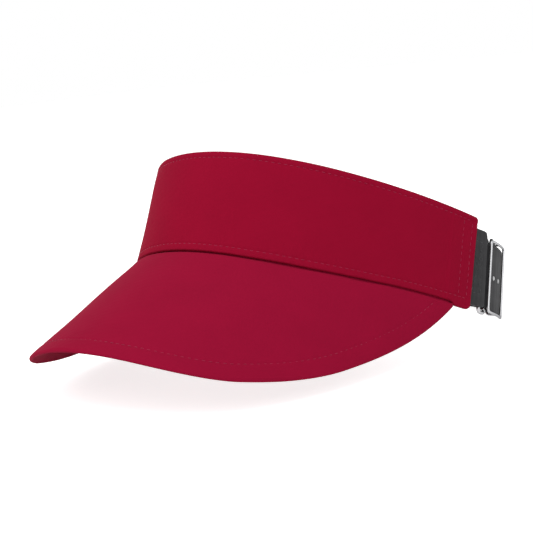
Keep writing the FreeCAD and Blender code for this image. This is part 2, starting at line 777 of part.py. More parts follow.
ring = new_body("wire_ring")
ring.Placement = chord_frame(TAB_BAR, STRAP_BAR, bar_circle)
half_pitch = bar_circle * math.sin((STRAP_BAR - TAB_BAR) / 2)
wire = size("ring_wire")
half_height = size("strap_width") / 2 + size("ring_edge_gap") + wire / 2
corner = min(size("ring_corner"), half_pitch - OVERLAP)
ring_path = new_sketch(ring, "path", "XZ_Plane")
inner_x, inner_z = half_pitch - corner, half_height - corner
path_edges = []
for number, (cx, cz) in enumerate(((inner_x, inner_z), (-inner_x, inner_z),
                                   (-inner_x, -inner_z), (inner_x, -inner_z))):
    circle = Part.Circle(FreeCAD.Vector(cx, cz, 0), FreeCAD.Vector(0, 0, 1), corner)
    path_edges.append(Part.ArcOfCircle(circle, number * math.pi / 2, (number + 1) * math.pi / 2))
path_loop = []
for number, edge in enumerate(path_edges):
    path_loop.append(edge)
    path_loop.append(Part.LineSegment(edge.EndPoint, path_edges[(number + 1) % 4].StartPoint))
draw_loop(ring_path, path_loop)
wire_section = new_sketch(ring, "wire", "XY_Plane")
draw_circle(wire_section, (half_pitch, 0.0), wire, "Sizes.ring_wire")
wire_pipe = ring.newObject("PartDesign::AdditivePipe", "wire_ring_pipe")
wire_pipe.Profile = wire_section
wire_pipe.Spine = (ring_path, ["Edge%d" % (n + 1) for n in range(len(path_loop))])

# ---------------------------------------------------------------- box stitch and marker dots
box = new_body("tab_box_stitching")
box_first = HEM + turn_of(size("box_end_margin") + size("box_shift"))
box_last = TAB_BAR - turn_of(eyelet + size("box_end_margin") - size("box_shift"))
box_frame = level(box, "frame", "Sizes.strap_low + Sizes.box_margin")
draw_loop(box_frame, sector(closure + thread_foot, closure + thread_crest, box_first, box_last))
pad(box, box_frame, "Sizes.strap_width + Sizes.tab_extra - 2 * Sizes.box_margin")
box_inside = level(box, "inside", "Sizes.strap_low + Sizes.box_margin + Sizes.stitch_width")
draw_loop(box_inside, sector(closure, closure + thread_crest + OVERLAP,
                             box_first + turn_of(stitch), box_last - turn_of(stitch)))
box_cut = box.newObject("PartDesign::Pocket", "tab_box_inside_cut")
box_cut.Profile = box_inside
box_cut.Reversed = True
box_cut.setExpression("Length",
                      "Sizes.strap_width + Sizes.tab_extra - 2 * Sizes.box_margin"
                      " - 2 * Sizes.stitch_width")

spots = []
for number in range(2):
    heading = SLIDER + (number - 0.5) * turn_of(size("dot_pitch"))
    spot = doc.addObject("Part::Cylinder", "dot_%d" % number)
    spot.setExpression("Radius", "Sizes.dot_diameter / 2")
    spot.setExpression("Height", "Sizes.dot_height")
    place = closure_point(closure + size("dot_lift"), heading)
    facing = FreeCAD.Rotation(FreeCAD.Vector(0, 0, 1),
                              FreeCAD.Vector(math.sin(heading), -math.cos(heading), 0))
    middle_height = size("strap_low") + size("strap_width") / 2
    spot.Placement = FreeCAD.Placement(FreeCAD.Vector(*place, middle_height), facing)
    spots.append(spot)
dots = doc.addObject("Part::Compound", "marker_dots")
dots.Label = "marker_dots"
dots.Links = spots

doc.recompute()


# ---------------------------------------------------------------- checks, resting pose and export
def sub_parts():
    """The objects that become files: every body that no other body uses, and the dots."""
    found = []
    for item in doc.Objects:
        if item.TypeId == "PartDesign::Body" and not item.Label.endswith("_core"):
            found.append(item)
    return found + [dots]


for item in doc.Objects:
    broken = [state for state in item.State if state in ("Invalid", "Error")]
    if broken:
        raise RuntimeError("%s failed: %s %s" % (item.Label, broken, item.getStatusString()))
for item in sub_parts():
    if item.Shape.isNull() or not item.Shape.isValid() or not item.Shape.Solids:
        raise RuntimeError("%s has no valid solid" % item.Label)
    print("%-24s solids %d  volume %10.1f" % (item.Label, len(item.Shape.Solids),
                                              item.Shape.Volume))


def mesh_points(*labels):
    points = []
    for item in sub_parts():
        if not labels or item.Label in labels:
            points += item.Shape.tessellate(0.2)[0]
    return points


def lowest(points, pitch):
    return min(point.z * math.cos(pitch) - point.y * math.sin(pitch) for point in points)


def resting_pitch():
    """The tip back at which the bill's rim and the back strap are equally low."""
    rim, rear = mesh_points("bill_cover_under"), mesh_points("back_strap")
    low, high = 0.0, math.radians(60)
    for _ in range(40):
        middle = (low + high) / 2
        if lowest(rear, middle) > lowest(rim, middle):
            low = middle
        else:
            high = middle
    return (low + high) / 2


pitch = resting_pitch()
tip = FreeCAD.Rotation(FreeCAD.Vector(1, 0, 0), -math.degrees(pitch))
placed = [tip.multVec(point) for point in mesh_points()]
middle_y = (min(point.y for point in placed) + max(point.y for point in placed)) / 2
foot = min(point.z for point in placed)
rest = FreeCAD.Placement(FreeCAD.Vector(0, -middle_y, -foot), tip)
for item in sub_parts():
    item.Placement = rest.multiply(item.Placement)
doc.recompute()

os.makedirs("parts", exist_ok=True)
for item in sub_parts():
    item.Shape.exportStep(os.path.join("parts", item.Label + ".step"))
print("tipped back %.3f degrees" % math.degrees(pitch))


def report(name, point):
    """Prints where a point of the hat frame lies in the visor's own frame at rest."""
    place = rest.multVec(FreeCAD.Vector(*point))
    print("%-22s %.4f %.4f %.4f" % (name, place.x, place.y, place.z))


report("closure axis", (*closure_centre, 0.0))
report("tab bar axis", (*closure_point(bar_circle, TAB_BAR), 0.0))
report("head opening centre", (0.0, 0.0, size("front_height") / 2))
up = tip.multVec(FreeCAD.Vector(0, 0, 1))
print("%-22s %.6f %.6f %.6f" % ("hat upward", up.x, up.y, up.z))
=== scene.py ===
"""The visible surfaces of the adjustable sun visor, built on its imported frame.

Shapes are worked out in the hat's own frame, in millimetres: +X to the wearer's left, -Y to the
front, +Z up the forehead, with the front of the band's lower edge at z = 0.  to_row() carries them
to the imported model's frame, in metres.
"""

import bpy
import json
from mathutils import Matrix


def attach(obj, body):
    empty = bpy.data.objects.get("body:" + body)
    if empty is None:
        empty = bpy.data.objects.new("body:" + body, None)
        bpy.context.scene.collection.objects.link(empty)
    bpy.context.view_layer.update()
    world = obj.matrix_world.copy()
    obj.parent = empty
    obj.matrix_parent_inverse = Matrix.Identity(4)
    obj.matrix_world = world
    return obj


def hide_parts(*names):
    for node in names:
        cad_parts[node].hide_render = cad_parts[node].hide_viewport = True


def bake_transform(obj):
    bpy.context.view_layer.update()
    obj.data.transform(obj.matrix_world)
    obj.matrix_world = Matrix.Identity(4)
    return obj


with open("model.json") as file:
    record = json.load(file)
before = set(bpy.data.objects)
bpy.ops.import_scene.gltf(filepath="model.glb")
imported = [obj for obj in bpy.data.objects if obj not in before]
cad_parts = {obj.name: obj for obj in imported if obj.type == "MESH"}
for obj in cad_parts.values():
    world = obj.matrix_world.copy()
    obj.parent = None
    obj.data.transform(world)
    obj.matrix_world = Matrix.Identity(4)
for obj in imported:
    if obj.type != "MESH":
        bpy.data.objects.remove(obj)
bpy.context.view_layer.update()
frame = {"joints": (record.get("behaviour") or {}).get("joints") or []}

import json
import math

import bpy
import numpy as np
from mathutils import Matrix, Vector

# ---------------------------------------------------------------- sizes (mm, degrees)
BROW_REACH = 95.0
PLAN_RADII, PLAN_TURNS = (70.3, 96.6, 163.8), (32.1, 51.3, 79.6)
ARCH_RADII, ARCH_TURNS = (86.4, 101.0, 130.6, 97.5), (21.5, 42.8, 52.3, 84.0)
BILL_REACH = 58.1
RIM_RADII, RIM_TURNS = (77.1, 157.8, 332.0), (59.0, 77.1, 89.1)
LEAN = math.tan(math.radians(4.0))
SLOPE = math.radians(44.2)
FRONT_HEIGHT, HEM_TOP, HEM_RUN, TOP_BOW = 49.6, 40.1, 105.0, 0.1
BAND_THICK = 2.3                # all the band's cloth layers
LINING_THICK, FACING_THICK = 0.6, 0.55
FOLD = 1.1                      # radius of the fold along the band's top edge
SEAM_GAP = 0.3                  # the band's foot stands this far over the bill
TOP_CREST = 1.1                 # the top edge stands higher over the right temple
HEM_WIDTH = 17.0
HEM_SWELL = 0.35                # the hem's extra layers stand this proud
HEM_CORNER_TOP, HEM_CORNER_FOOT = 1.0, 3.2
HEM_DRIFT, HEM_HANG = 1.6, 1.8  # the hem leans back at its top and hangs below the bill's end
HANG_LEAD, HANG_RUN = 3.5, 5.0  # the hang starts before the bill's end
BILL_THICK, RIM_THICK, RIM_TAPER = 2.9, 1.9, 7.0
BILL_ROOT = 2.1                 # how far the bill runs in under the band
BILL_CORNER = 1.8               # radius of the bill's rear corners
STITCH_PITCH, STITCH_GAP, STITCH_WIDTH, STITCH_SINK = 3.0, 1.2, 0.33, 0.2
TOP_ROW, SEAM_ROW, RIM_ROW = 3.1, 3.5, 8.5      # stitch rows, each from its own edge
HEM_ROWS = (4.0, 9.5)
SWEAT_OUT, SWEAT_THICK = 2.5, 2.8               # the sweatband's depth in the band
SWEAT_FOOT, SWEAT_TOP, SWEAT_DROP = -3.5, 29.8, 4.2
CLOSURE_RADIUS, CLOSURE_TURN = 63.8, 150.0
STRAP_INSET = 3.6
STRAP_LOW, STRAP_WIDTH, STRAP_THICK = -2.6, 33.2, 1.3
STRAP_RISE, LOW_RISE_START, HIGH_RISE_START = 0.29, 49.0, 78.0      # its slope over the back
TAB_WIDTH, TAB_CUT = 37.8, 1.8    # its corner is cut down over the fold
STRAP_PEAK = 2.6                # the strap's upper edge rises towards the ring
LEAN_LEVEL = 19.0               # the strap leans with the band about this height
STRAP_STRETCH = 0.35            # how much wider it lies than it is cut
RIB_PITCH = 1.05                # the strap's lengthwise cords
FIT = 0.3
RING_WIRE, RING_PITCH, RING_CORNER, RING_EDGE_GAP = 2.0, 5.8, 2.0, 1.0
TAB_BAR_TURN = 91.0
SLIDER_TURN, SLIDER_SPAN = 104.1, 21.9
SLIDER_WIRE, SLIDER_CORNER, LEG_BEND, LEG_STEP = 1.36, 2.2, 1.5, 0.8
SLIDER_EDGE_GAP, MIDDLE_BAR = 0.5, 1.8
WIRE_SIDES, WIRE_STEP = 14, 0.9
BOX_INSET = 6.0
SEWN_RUN, TAB_CLOSING = 9.0, 6.0          # in the hem, and where the tab's two layers meet
SPLIT_RUN, FOLD_LENGTH, LOOP_TAIL = 6.2, 2.0, 0.8
DOT_PITCH, DOT_DIAMETER, DOT_HEIGHT = 8.0, 2.2, 0.35

# ---------------------------------------------------------------- hat frame to row frame
travel = next(joint for joint in frame["joints"] if joint["name"] == "slider_travel")
pitch = math.asin(travel["axis"][1])
TIP = Matrix.Rotation(-pitch, 3, "X")


# ---------------------------------------------------------------- chains of tangent arcs
class Chain:
    """Tangent arcs from (0, start_y), heading along +x and turning left, mirrored about x = 0."""

    def __init__(self, start_y, radii, turns):
        self.radius = np.array(radii)
        self.turn = np.radians(turns)
        centres, lengths = [(0.0, start_y + radii[0])], [0.0]
        for before, after, turn in zip(radii, radii[1:], self.turn):
            x, y = centres[-1]
            step = before - after
            centres.append((x + step * math.sin(turn), y - step * math.cos(turn)))
        starts = np.concatenate([[0.0], self.turn[:-1]])
        for radius, first, last in zip(radii, starts, self.turn):
            lengths.append(lengths[-1] + radius * (last - first))
        self.centre = np.array(centres)
        self.start = starts
        self.run = np.array(lengths)

    def at(self, heading, inward=0.0):
        """x and y at signed headings, moved inward."""
        side, turn = np.where(heading < 0, -1.0, 1.0), np.abs(heading)
        n = np.searchsorted(self.turn[:-1], turn)
        radius = self.radius[n] - inward
        return (side * (self.centre[n, 0] + radius * np.sin(turn)),
                self.centre[n, 1] - radius * np.cos(turn))

    def length(self, heading):
        turn = np.abs(heading)
        n = np.searchsorted(self.turn[:-1], turn)
        return np.sign(heading) * (self.run[n] + self.radius[n] * (turn - self.start[n]))

    def heading(self, length):
        run = np.abs(length)
        n = np.searchsorted(self.run[1:-1], run)
        return np.sign(length) * (self.start[n] + (run - self.run[n]) / self.radius[n])

    def heading_at_x(self, x):
        """The heading where the chain passes a given x."""
        reach = np.abs(x)
        ends = self.at(self.turn[:-1])[0]
        n = np.searchsorted(ends, reach)
        sine = np.clip((reach - self.centre[n, 0]) / self.radius[n], -1, 1)
        return np.sign(x) * np.arcsin(sine)


plan = Chain(-BROW_REACH, PLAN_RADII, PLAN_TURNS)
arch = Chain(0.0, ARCH_RADII, ARCH_TURNS)
rim = Chain(-BROW_REACH - BILL_REACH, RIM_RADII, RIM_TURNS)
HEM = math.radians(PLAN_TURNS[-1])
HEM_LENGTH = float(plan.length(HEM))


def outward(heading):
    """Unit vectors at headings, square to an arc there."""
    return np.stack([np.sin(heading), -np.cos(heading)], -1)


def around(centre, radius, heading):
    """Points of an arc, its radius being one value or one per heading."""
    return np.stack([centre[0] + radius * np.sin(heading),
                     centre[1] - radius * np.cos(heading)], -1)


strap_start = [float(value) for value in plan.at(np.array(HEM), STRAP_INSET)]
closure_centre = around(strap_start, -CLOSURE_RADIUS, HEM)
CLOSURE_END = math.radians(CLOSURE_TURN)
closure_end = around(closure_centre, CLOSURE_RADIUS, CLOSURE_END)
back_radius = closure_end[0] / math.sin(CLOSURE_END)
back_centre = (0.0, around(closure_end, -back_radius, CLOSURE_END)[1])

SHIFT = Vector(travel["pos_m"]) - TIP @ Vector((*closure_centre, 0.0)) / 1000


def stacked(*values):
    """Values side by side along a new last axis."""
    return np.stack(np.broadcast_arrays(*values), -1)


def between(low, high, share):
    return low * (1 - share) + high * share


def unit(vectors):
    return vectors / np.linalg.norm(vectors, axis=-1, keepdims=True)


def run_along(path):
    """The distance along a path at each of its points."""
    return np.concatenate([[0.0], np.cumsum(np.linalg.norm(np.diff(path, axis=0), axis=1))])


def resampled(spots, run, values):
    """The columns of values at spots along run."""
    return np.stack([np.interp(spots, run, column) for column in values.T], -1)


def to_row(points):
    """Hat-frame points in millimetres as row-frame points in metres."""
    return np.asarray(points, float) @ np.array(TIP).T / 1000 + np.array(SHIFT)


# ---------------------------------------------------------------- band and bill surfaces
def smooth(value):
    value = np.clip(value, 0.0, 1.0)
    return value * value * (3 - 2 * value)


def wave_noise(u, v, seed, scale):
    """A smooth, repeatable unevenness of about -1 to 1 that varies over scale millimetres."""
    random = np.random.RandomState(seed)
    total = 0.0
    for _ in range(7):
        angle, phase = random.uniform(0, 2 * math.pi, 2)
        rate = random.uniform(0.6, 1.7) * 2 * math.pi / scale
        total = total + np.sin(rate * (u * math.cos(angle) + v * math.sin(angle)) + phase)
    return total / 3.2


def top_height(y):
    share = (y + BROW_REACH) / HEM_RUN
    return FRONT_HEIGHT + share * (HEM_TOP - FRONT_HEIGHT) + 4 * TOP_BOW * share * (1 - share)


def bill_height(x, y):
    """Height of the bill's surface over a plan point."""
    drop = arch.at(arch.heading_at_x(x))[1]
    return math.tan(SLOPE) * (y + BROW_REACH) - drop / math.cos(SLOPE)


def wall(heading, depth, z):
    """Points of the band's wall at a depth below its outer face."""
    x, y = plan.at(heading)
    inward = depth + z * LEAN
    return stacked(x - inward * np.sin(heading), y + inward * np.cos(heading), z)


def hem_drift(along, z):
    """How far the band's rear ends lean back, by arc length and height."""
    near = smooth((np.abs(along) - HEM_LENGTH + 25) / 25)
    return np.sign(along) * HEM_DRIFT * near * np.clip(z / HEM_TOP, 0, 1)


def seam_height(heading, depth=0.0):
    """Where the wall meets the bill's surface."""
    low, high = np.full(np.shape(heading), -80.0), np.full(np.shape(heading), 60.0)
    for _ in range(50):
        middle = (low + high) / 2
        point = wall(heading, depth, middle)
        over = bill_height(point[..., 0], point[..., 1]) > middle
        low, high = np.where(over, middle, low), np.where(over, high, middle)
    return (low + high) / 2


def edge_height(heading):
    """Where the wall meets its top edge."""
    z = np.full(np.shape(heading), FRONT_HEIGHT)
    for _ in range(12):
        z = top_height(wall(heading, 0.0, z)[..., 1])
    return z + TOP_CREST * np.exp(-((heading + math.radians(47)) / 0.26) ** 2)


def sheet_point(along, rise, depth):
    """The bill's developed sheet: along its arch, up its rulings, and a depth square to it."""
    turn = arch.heading(along)
    x, drop = arch.at(turn)
    h = -drop - depth * np.cos(turn)
    return np.stack([x - depth * np.sin(turn), -BROW_REACH - h * math.sin(SLOPE)
                     + rise * math.cos(SLOPE), h * math.cos(SLOPE) + rise * math.sin(SLOPE)], -1)


def on_sheet(x, y):
    """Sheet coordinates of the bill's surface over plan points."""
    turn = arch.heading_at_x(x)
    drop = arch.at(turn)[1]
    return np.stack([arch.length(turn), (y + BROW_REACH - drop * math.sin(SLOPE))
                     / math.cos(SLOPE)], -1)


def rim_end():
    """The heading of the bill's rim where it meets the band."""
    low, high = math.radians(RIM_TURNS[0]), math.radians(RIM_TURNS[-1])
    centre, radius = plan.centre[-1], plan.radius[-1]
    for _ in range(50):
        middle = (low + high) / 2
        x, y = rim.at(np.array(middle))
        inside = radius - bill_height(x, y) * LEAN - math.hypot(x - centre[0], y - centre[1])
        low, high = (low, middle) if inside > 0 else (middle, high)
    x, y = rim.at(np.array(low))
    return low, math.atan2(x - centre[0], centre[1] - y)


RIM_END, ROOT_END = rim_end()


# ---------------------------------------------------------------- meshes
def make(name, points, faces, uv=None, material=None):
    """A smooth-shaded mesh object from hat-frame points; uv is one pair per point, in metres."""
    mesh = bpy.data.meshes.new(name)
    mesh.from_pydata(to_row(points).tolist(), [], [list(map(int, face)) for face in faces])
    if uv is not None:
        layer = mesh.uv_layers.new(name="cloth")
        corners = np.zeros(len(mesh.loops), np.int32)
        mesh.loops.foreach_get("vertex_index", corners)
        layer.data.foreach_set("uv", (np.asarray(uv)[corners] / 1000).astype(np.float32).ravel())
    mesh.shade_smooth()
    mesh.validate()
    piece = bpy.data.objects.new(name, mesh)
    bpy.context.scene.collection.objects.link(piece)
    if material is not None:
        mesh.materials.append(material)
    return piece


def grid_faces(rows, cols, wrap=False, round_cols=False):
    """Quads of a grid stored row by row; the last row or column can join the first."""
    r, c = np.meshgrid(np.arange(rows - (not wrap)), np.arange(cols - (not round_cols)),
                       indexing="ij")
    here, after, right = r * cols, (r + 1) % rows * cols, (c + 1) % cols
    quads = np.stack([here + c, here + right, after + right, after + c], -1)
    return quads.reshape(-1, 4).tolist()


def grid_piece(name, points, uv, material, wrap=False, caps=False):
    """A piece from a grid of points; caps close the ends of wrapped rows."""
    rows, cols = points.shape[:2]
    faces = grid_faces(rows, cols, wrap)
    if caps:
        faces.append([r * cols for r in range(rows)])
        faces.append([r * cols + cols - 1 for r in reversed(range(rows))])
    return make(name, points.reshape(-1, 3), faces, uv.reshape(-1, 2), material)


def tube(points, radius, sides, closed=False):
    """Points and faces of a tube along a path; radius is one value or one per point."""
    points = np.asarray(points, float)
    count = len(points)
    if closed:
        tangent = np.roll(points, -1, 0) - np.roll(points, 1, 0)
    else:
        tangent = np.gradient(points, axis=0)
    side = np.cross(tangent[0], [0.3, 0.2, 1.0])
    turn = (np.arange(sides) * 2 * math.pi / sides)[:, None]
    rings = []
    for point, along, size in zip(points, unit(tangent), np.broadcast_to(radius, count)):
        side = unit(side - along * (side @ along))
        rings.append(point + size * (np.cos(turn) * side + np.sin(turn) * np.cross(along, side)))
    faces = grid_faces(count, sides, closed, True)
    if not closed:
        faces.append(list(range(sides))[::-1])
        faces.append([(count - 1) * sides + k for k in range(sides)])
    return np.concatenate(rings), faces


# ---------------------------------------------------------------- materials
SHADER = "Principled BSDF"


def set_inputs(node, values):
    for key, value in values.items():
        node.inputs[key].default_value = value


def new_material(name, values):
    """A material and its node tree, with values for its shader's inputs."""
    material = bpy.data.materials.new(name)
    material.use_nodes = True
    set_inputs(material.node_tree.nodes[SHADER], values)
    return material, material.node_tree


def texture(tree, kind, source, values, **settings):
    """The output of a texture node that reads a coordinate output."""
    node = tree.nodes.new("ShaderNodeTex" + kind)
    set_inputs(node, values)
    for key, value in settings.items():
        setattr(node, key, value)
    tree.links.new(source, node.inputs["Vector"])
    return node.outputs["Distance" if kind == "Voronoi" else "Fac"]


def math_node(tree, operation, *inputs):
    """The output of a math node whose inputs are outputs or plain values."""
    node = tree.nodes.new("ShaderNodeMath")
    node.operation = operation
    for socket, value in zip(node.inputs, inputs):
        if isinstance(value, (int, float)):
            socket.default_value = value
        else:
            tree.links.new(value, socket)
    return node.outputs[0]


def range_node(tree, source, low, high):
    """The output of a node that spreads 0 to 1 over low to high."""
    node = tree.nodes.new("ShaderNodeMapRange")
    set_inputs(node, {"To Min": low, "To Max": high})
    tree.links.new(source, node.inputs["Value"])
    return node.outputs["Result"]


def object_place(tree):
    return tree.nodes.new("ShaderNodeTexCoord").outputs["Object"]


def cloth_place(tree):
    node = tree.nodes.new("ShaderNodeUVMap")
    node.uv_map = "cloth"
    return node.outputs["UV"]


def bump(tree, height, strength, distance, invert=False):
    node = tree.nodes.new("ShaderNodeBump")
    node.invert = invert
    set_inputs(node, {"Strength": strength, "Distance": distance})
    tree.links.new(height, node.inputs["Height"])
    tree.links.new(node.outputs["Normal"], tree.nodes[SHADER].inputs["Normal"])


def colour_range(tree, source, low, high, span=(0.0, 1.0)):
    """Base colour from low to high over a span of the source's values."""
    node = tree.nodes.new("ShaderNodeValToRGB")
    for element, colour, position in zip(node.color_ramp.elements, (low, high), span):
        element.color, element.position = (*colour, 1.0), position
    tree.links.new(source, node.inputs["Fac"])
    tree.links.new(node.outputs["Color"], tree.nodes[SHADER].inputs["Base Color"])


def scaled(colour, share):
    return [value * share for value in colour]


def cloth_material(name, colour, spread, rib=0.55, sheen=0.03, angle=63.0):
    """Woven cloth: diagonal twill ribs and yarn crossings as bump, uneven dye as colour."""
    material, tree = new_material(name, {
        "Sheen Weight": sheen, "Sheen Roughness": 0.4, "Sheen Tint": (1.0, 0.5, 0.6, 1.0),
        "Specular IOR Level": 0.035, "Roughness": 0.88})
    place = cloth_place(tree)
    turned = tree.nodes.new("ShaderNodeMapping")
    turned.inputs["Rotation"].default_value = (0.0, 0.0, math.radians(angle))
    tree.links.new(place, turned.inputs["Vector"])
    waves = 314 / math.tau / rib    # the wave texture's scale for ribs this many mm apart
    twill = texture(tree, "Wave", turned.outputs["Vector"],
                    {"Scale": waves, "Distortion": 0.6, "Detail": 1.0})
    yarn = texture(tree, "Wave", place, {"Scale": 1.3 * waves, "Distortion": 0.4},
                   bands_direction="Y")
    bump(tree, math_node(tree, "MULTIPLY_ADD", yarn, 0.35, twill),
         0.25, 0.0001)
    patch = texture(tree, "Noise", object_place(tree),
                    {"Scale": 45.0, "Detail": 4.0, "Roughness": 0.6})
    fibre = texture(tree, "Noise", place, {"Scale": 1400.0, "Detail": 2.0})
    colour_range(tree, math_node(tree, "MULTIPLY_ADD", fibre, 0.35, patch),
                 scaled(colour, 1 - spread), scaled(colour, 1 + spread), (0.4, 1.0))
    return material


def terry_material(name, colour):
    """Brushed terry: small loops as bump, with painted shade on the ground between them."""
    material, tree = new_material(name, {
        "Sheen Weight": 0.12, "Sheen Tint": (1.0, 0.6, 0.7, 1.0), "Specular IOR Level": 0.15,
        "Roughness": 0.95})
    loops = texture(tree, "Voronoi", object_place(tree),
                    {"Scale": 1100.0, "Randomness": 0.8})
    bump(tree, loops, 0.7, 0.0004, invert=True)
    # painted shade: the colour darkens from each loop's raised middle into the ground between the
    # loops
    colour_range(tree, loops, scaled(colour, 1.15), scaled(colour, 0.55))
    return material


def webbing_material(name, colour):
    """Woven elastic: lengthwise cords and fine cross picks."""
    material, tree = new_material(name, {
        "Sheen Weight": 0.1, "Sheen Roughness": 0.5, "Specular IOR Level": 0.11,
        "Roughness": 0.7})
    place = cloth_place(tree)
    cords = texture(tree, "Wave", place,
                    {"Scale": 50 / RIB_PITCH, "Distortion": 0.5, "Detail": 1.0},
                    bands_direction="Y")
    picks = texture(tree, "Wave", place,
                    {"Scale": 50 / 0.6, "Distortion": 1.5, "Detail": 2.0})
    weave = math_node(tree, "MULTIPLY_ADD", picks, 0.7, cords)
    bump(tree, weave, 0.45, 0.00015)
    patch = texture(tree, "Noise", place, {"Scale": 160.0, "Detail": 5.0})
    colour_range(tree, math_node(tree, "MULTIPLY_ADD", weave, 0.25, patch),
                 scaled(colour, 0.85), scaled(colour, 1.2), (0.35, 1.0))
    return material


def thread_material(name, colour):
    """Twisted thread with a soft shine."""
    material, tree = new_material(name, {
        "Sheen Weight": 0.05, "Specular IOR Level": 0.25, "Roughness": 0.6})
    ply = texture(tree, "Noise", object_place(tree), {"Scale": 2500.0, "Detail": 1.0})
    colour_range(tree, ply, scaled(colour, 0.8), scaled(colour, 1.25))
    bump(tree, ply, 0.4, 0.0001)
    return material


def metal_material(name):
    """Bright nickel plate with faint handling marks."""
    material, tree = new_material(name, {
        "Metallic": 1.0, "Specular Tint": (0.45, 0.45, 0.46, 1.0)})
    marks = texture(tree, "Noise", object_place(tree),
                    {"Scale": 220.0, "Detail": 6.0, "Roughness": 0.7})
    rough = range_node(tree, marks, 0.12, 0.3)
    tree.links.new(rough, tree.nodes[SHADER].inputs["Roughness"])
    colour_range(tree, marks, (0.40, 0.40, 0.41), (0.53, 0.53, 0.54))
    return material


def marker_material(name):
    """Pale rubber dots, slightly uneven."""
    material, tree = new_material(name, {"Roughness": 0.5})
    patch = texture(tree, "Noise", object_place(tree), {"Scale": 900.0, "Detail": 3.0})
    colour_range(tree, patch, (0.45, 0.45, 0.46), (0.66, 0.66, 0.66))
    return material


visor_cloth = cloth_material("visor_cloth", (0.288, 0.0034, 0.0245), 0.05)
# the bill's cloth is the band's crimson painted lighter and pinker: painted light for the light
# that falls on the bill's upturned face from above
bill_cloth = cloth_material("bill_cloth", (0.3, 0.0046, 0.0315), 0.05)
lining_cloth = cloth_material("lining_cloth", (0.24, 0.0035, 0.019), 0.06, rib=0.8, sheen=0.05,
                              angle=0.0)
terry = terry_material("terry", (0.25, 0.0042, 0.022))
thread = thread_material("thread", (0.32, 0.007, 0.046))
webbing = webbing_material("webbing", (0.029, 0.029, 0.031))
strap_thread = thread_material("strap_thread", (0.05, 0.05, 0.053))
metal = metal_material("nickel")
marker = marker_material("marker")


# ---------------------------------------------------------------- stitches
def stitches(name, path, normal, material, seed, lift=0.1):
    """One row of separate stitches along a dense path, each dipping into the cloth at its ends."""
    run = run_along(path)
    count = max(1, int(run[-1] / STITCH_PITCH))
    pitch_here = run[-1] / count
    random = np.random.RandomState(seed)
    share = np.linspace(0, 1, 7)
    crest = 1 - (2 * share - 1) ** 4
    points, faces = [], []
    for number in range(count):
        start = number * pitch_here + STITCH_GAP / 2 + random.uniform(-0.12, 0.12)
        spots = start + share * (pitch_here - STITCH_GAP)
        raised = (lift * crest - STITCH_SINK * (1 - crest))[:, None]
        line = resampled(spots, run, path) + resampled(spots, run, normal) * raised
        rings, quads = tube(line, STITCH_WIDTH / 2 * (0.7 + 0.3 * crest), sides=6)
        faces += [[index + len(points) * len(rings) for index in quad] for quad in quads]
        points.append(rings)
    piece = make(name, np.concatenate(points), faces, material=material)
    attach(piece, "visor")
    return piece


def normals_of(points):
    """Outward unit normals of a grid of wall points, level with the ground of the hat frame."""
    return unit(np.cross(np.gradient(points, axis=0), [0.0, 0.0, 1.0]))


# ---------------------------------------------------------------- band
END_STEPS = np.array([0.0, 0.04, 0.13, 0.28, 0.5, 0.8, 1.15, 1.6, 2.1, 2.7, 3.3, 4.0])


def band_stations(end, step):
    """Arc lengths along the band from one end to the other, closer together at both ends."""
    near = end - END_STEPS
    middle = np.linspace(-near[-1], near[-1], int(2 * near[-1] / step) + 1)[1:-1]
    return np.concatenate([-near, middle, near[::-1]])


def end_round(distance, radius):
    """0 at an end and 1 from one radius in, along a quarter circle."""
    share = np.clip(distance / radius, 0, 1)
    return np.sqrt(np.clip(1 - (1 - share) ** 2, 0, 1))


def drawn_in(depths, middle, distance, radius):
    """Depths that close in on a middle depth within a radius of a piece's ends."""
    return middle + (depths - middle) * end_round(distance, radius)


def corner_cut(distance, radius):
    """How much a rounded corner takes off a height at a distance from an end."""
    return radius - radius * end_round(distance, radius)


def groove(distance, along, width=0.55, depth=0.24):
    """A stitched line's dent, deepest at its needle holes."""
    dent = np.exp(-(distance / width) ** 2)
    return -depth * dent * (0.75 + 0.25 * np.cos(2 * math.pi * along / STITCH_PITCH))


def pucker(distance, along, seed, reach=5.0, size=0.07):
    """Small ripples that run away from a stitched line."""
    ripple = wave_noise(along, 0 * along, seed, 5.0)
    return size * ripple * np.exp(-np.abs(distance) / reach)


def band_relief(along, above, below):
    """How far the band's outer cloth stands proud; above the seam and below the top edge, mm."""
    to_end = HEM_LENGTH - np.abs(along)
    relief = 0.22 * wave_noise(along, above, 3, 55.0) * smooth(above / 12) * smooth(below / 12)
    relief += groove(below - TOP_ROW, along) + groove(above - SEAM_ROW, along)
    relief += 0.12 * np.sin(math.pi * np.clip(below / TOP_ROW, 0, 1))
    relief += 0.08 * np.sin(math.pi * np.clip(above / SEAM_ROW, 0, 1))
    relief += pucker(below - TOP_ROW, along, 5) + pucker(above - SEAM_ROW, along, 6)
    relief += HEM_SWELL * smooth((HEM_WIDTH + 0.6 - to_end) / 1.2)
    for row in HEM_ROWS:
        relief += groove(to_end - row, above, 0.6, 0.28)
        relief += pucker(to_end - row, above, 7, 3.0, 0.06) * smooth((to_end + 1) / 2)
    return relief


def band_heights(seam, edge):
    """Heights of the band's outer rows at each station, closer together at both edges."""
    low = np.array([[0.0, 0.15, 0.35, 0.6, 0.9, 1.3, 1.7, 2.1, 2.5, 2.8, 3.05, 3.3, 3.5, 3.7, 3.95,
                     4.2, 4.6, 5.2, 6.0, 7.2, 9.0]]).T
    high = np.array([[9.0, 7.2, 6.0, 5.2, 4.6, 4.2, 3.8, 3.55, 3.35, 3.1, 2.85, 2.65, 2.4, 2.1,
                      1.8, 1.5, 1.2]]).T
    middle = between(seam + low[-1], edge - high[0], np.linspace(0, 1, 16)[1:-1, None])
    return np.concatenate([seam + low, middle, edge - high])


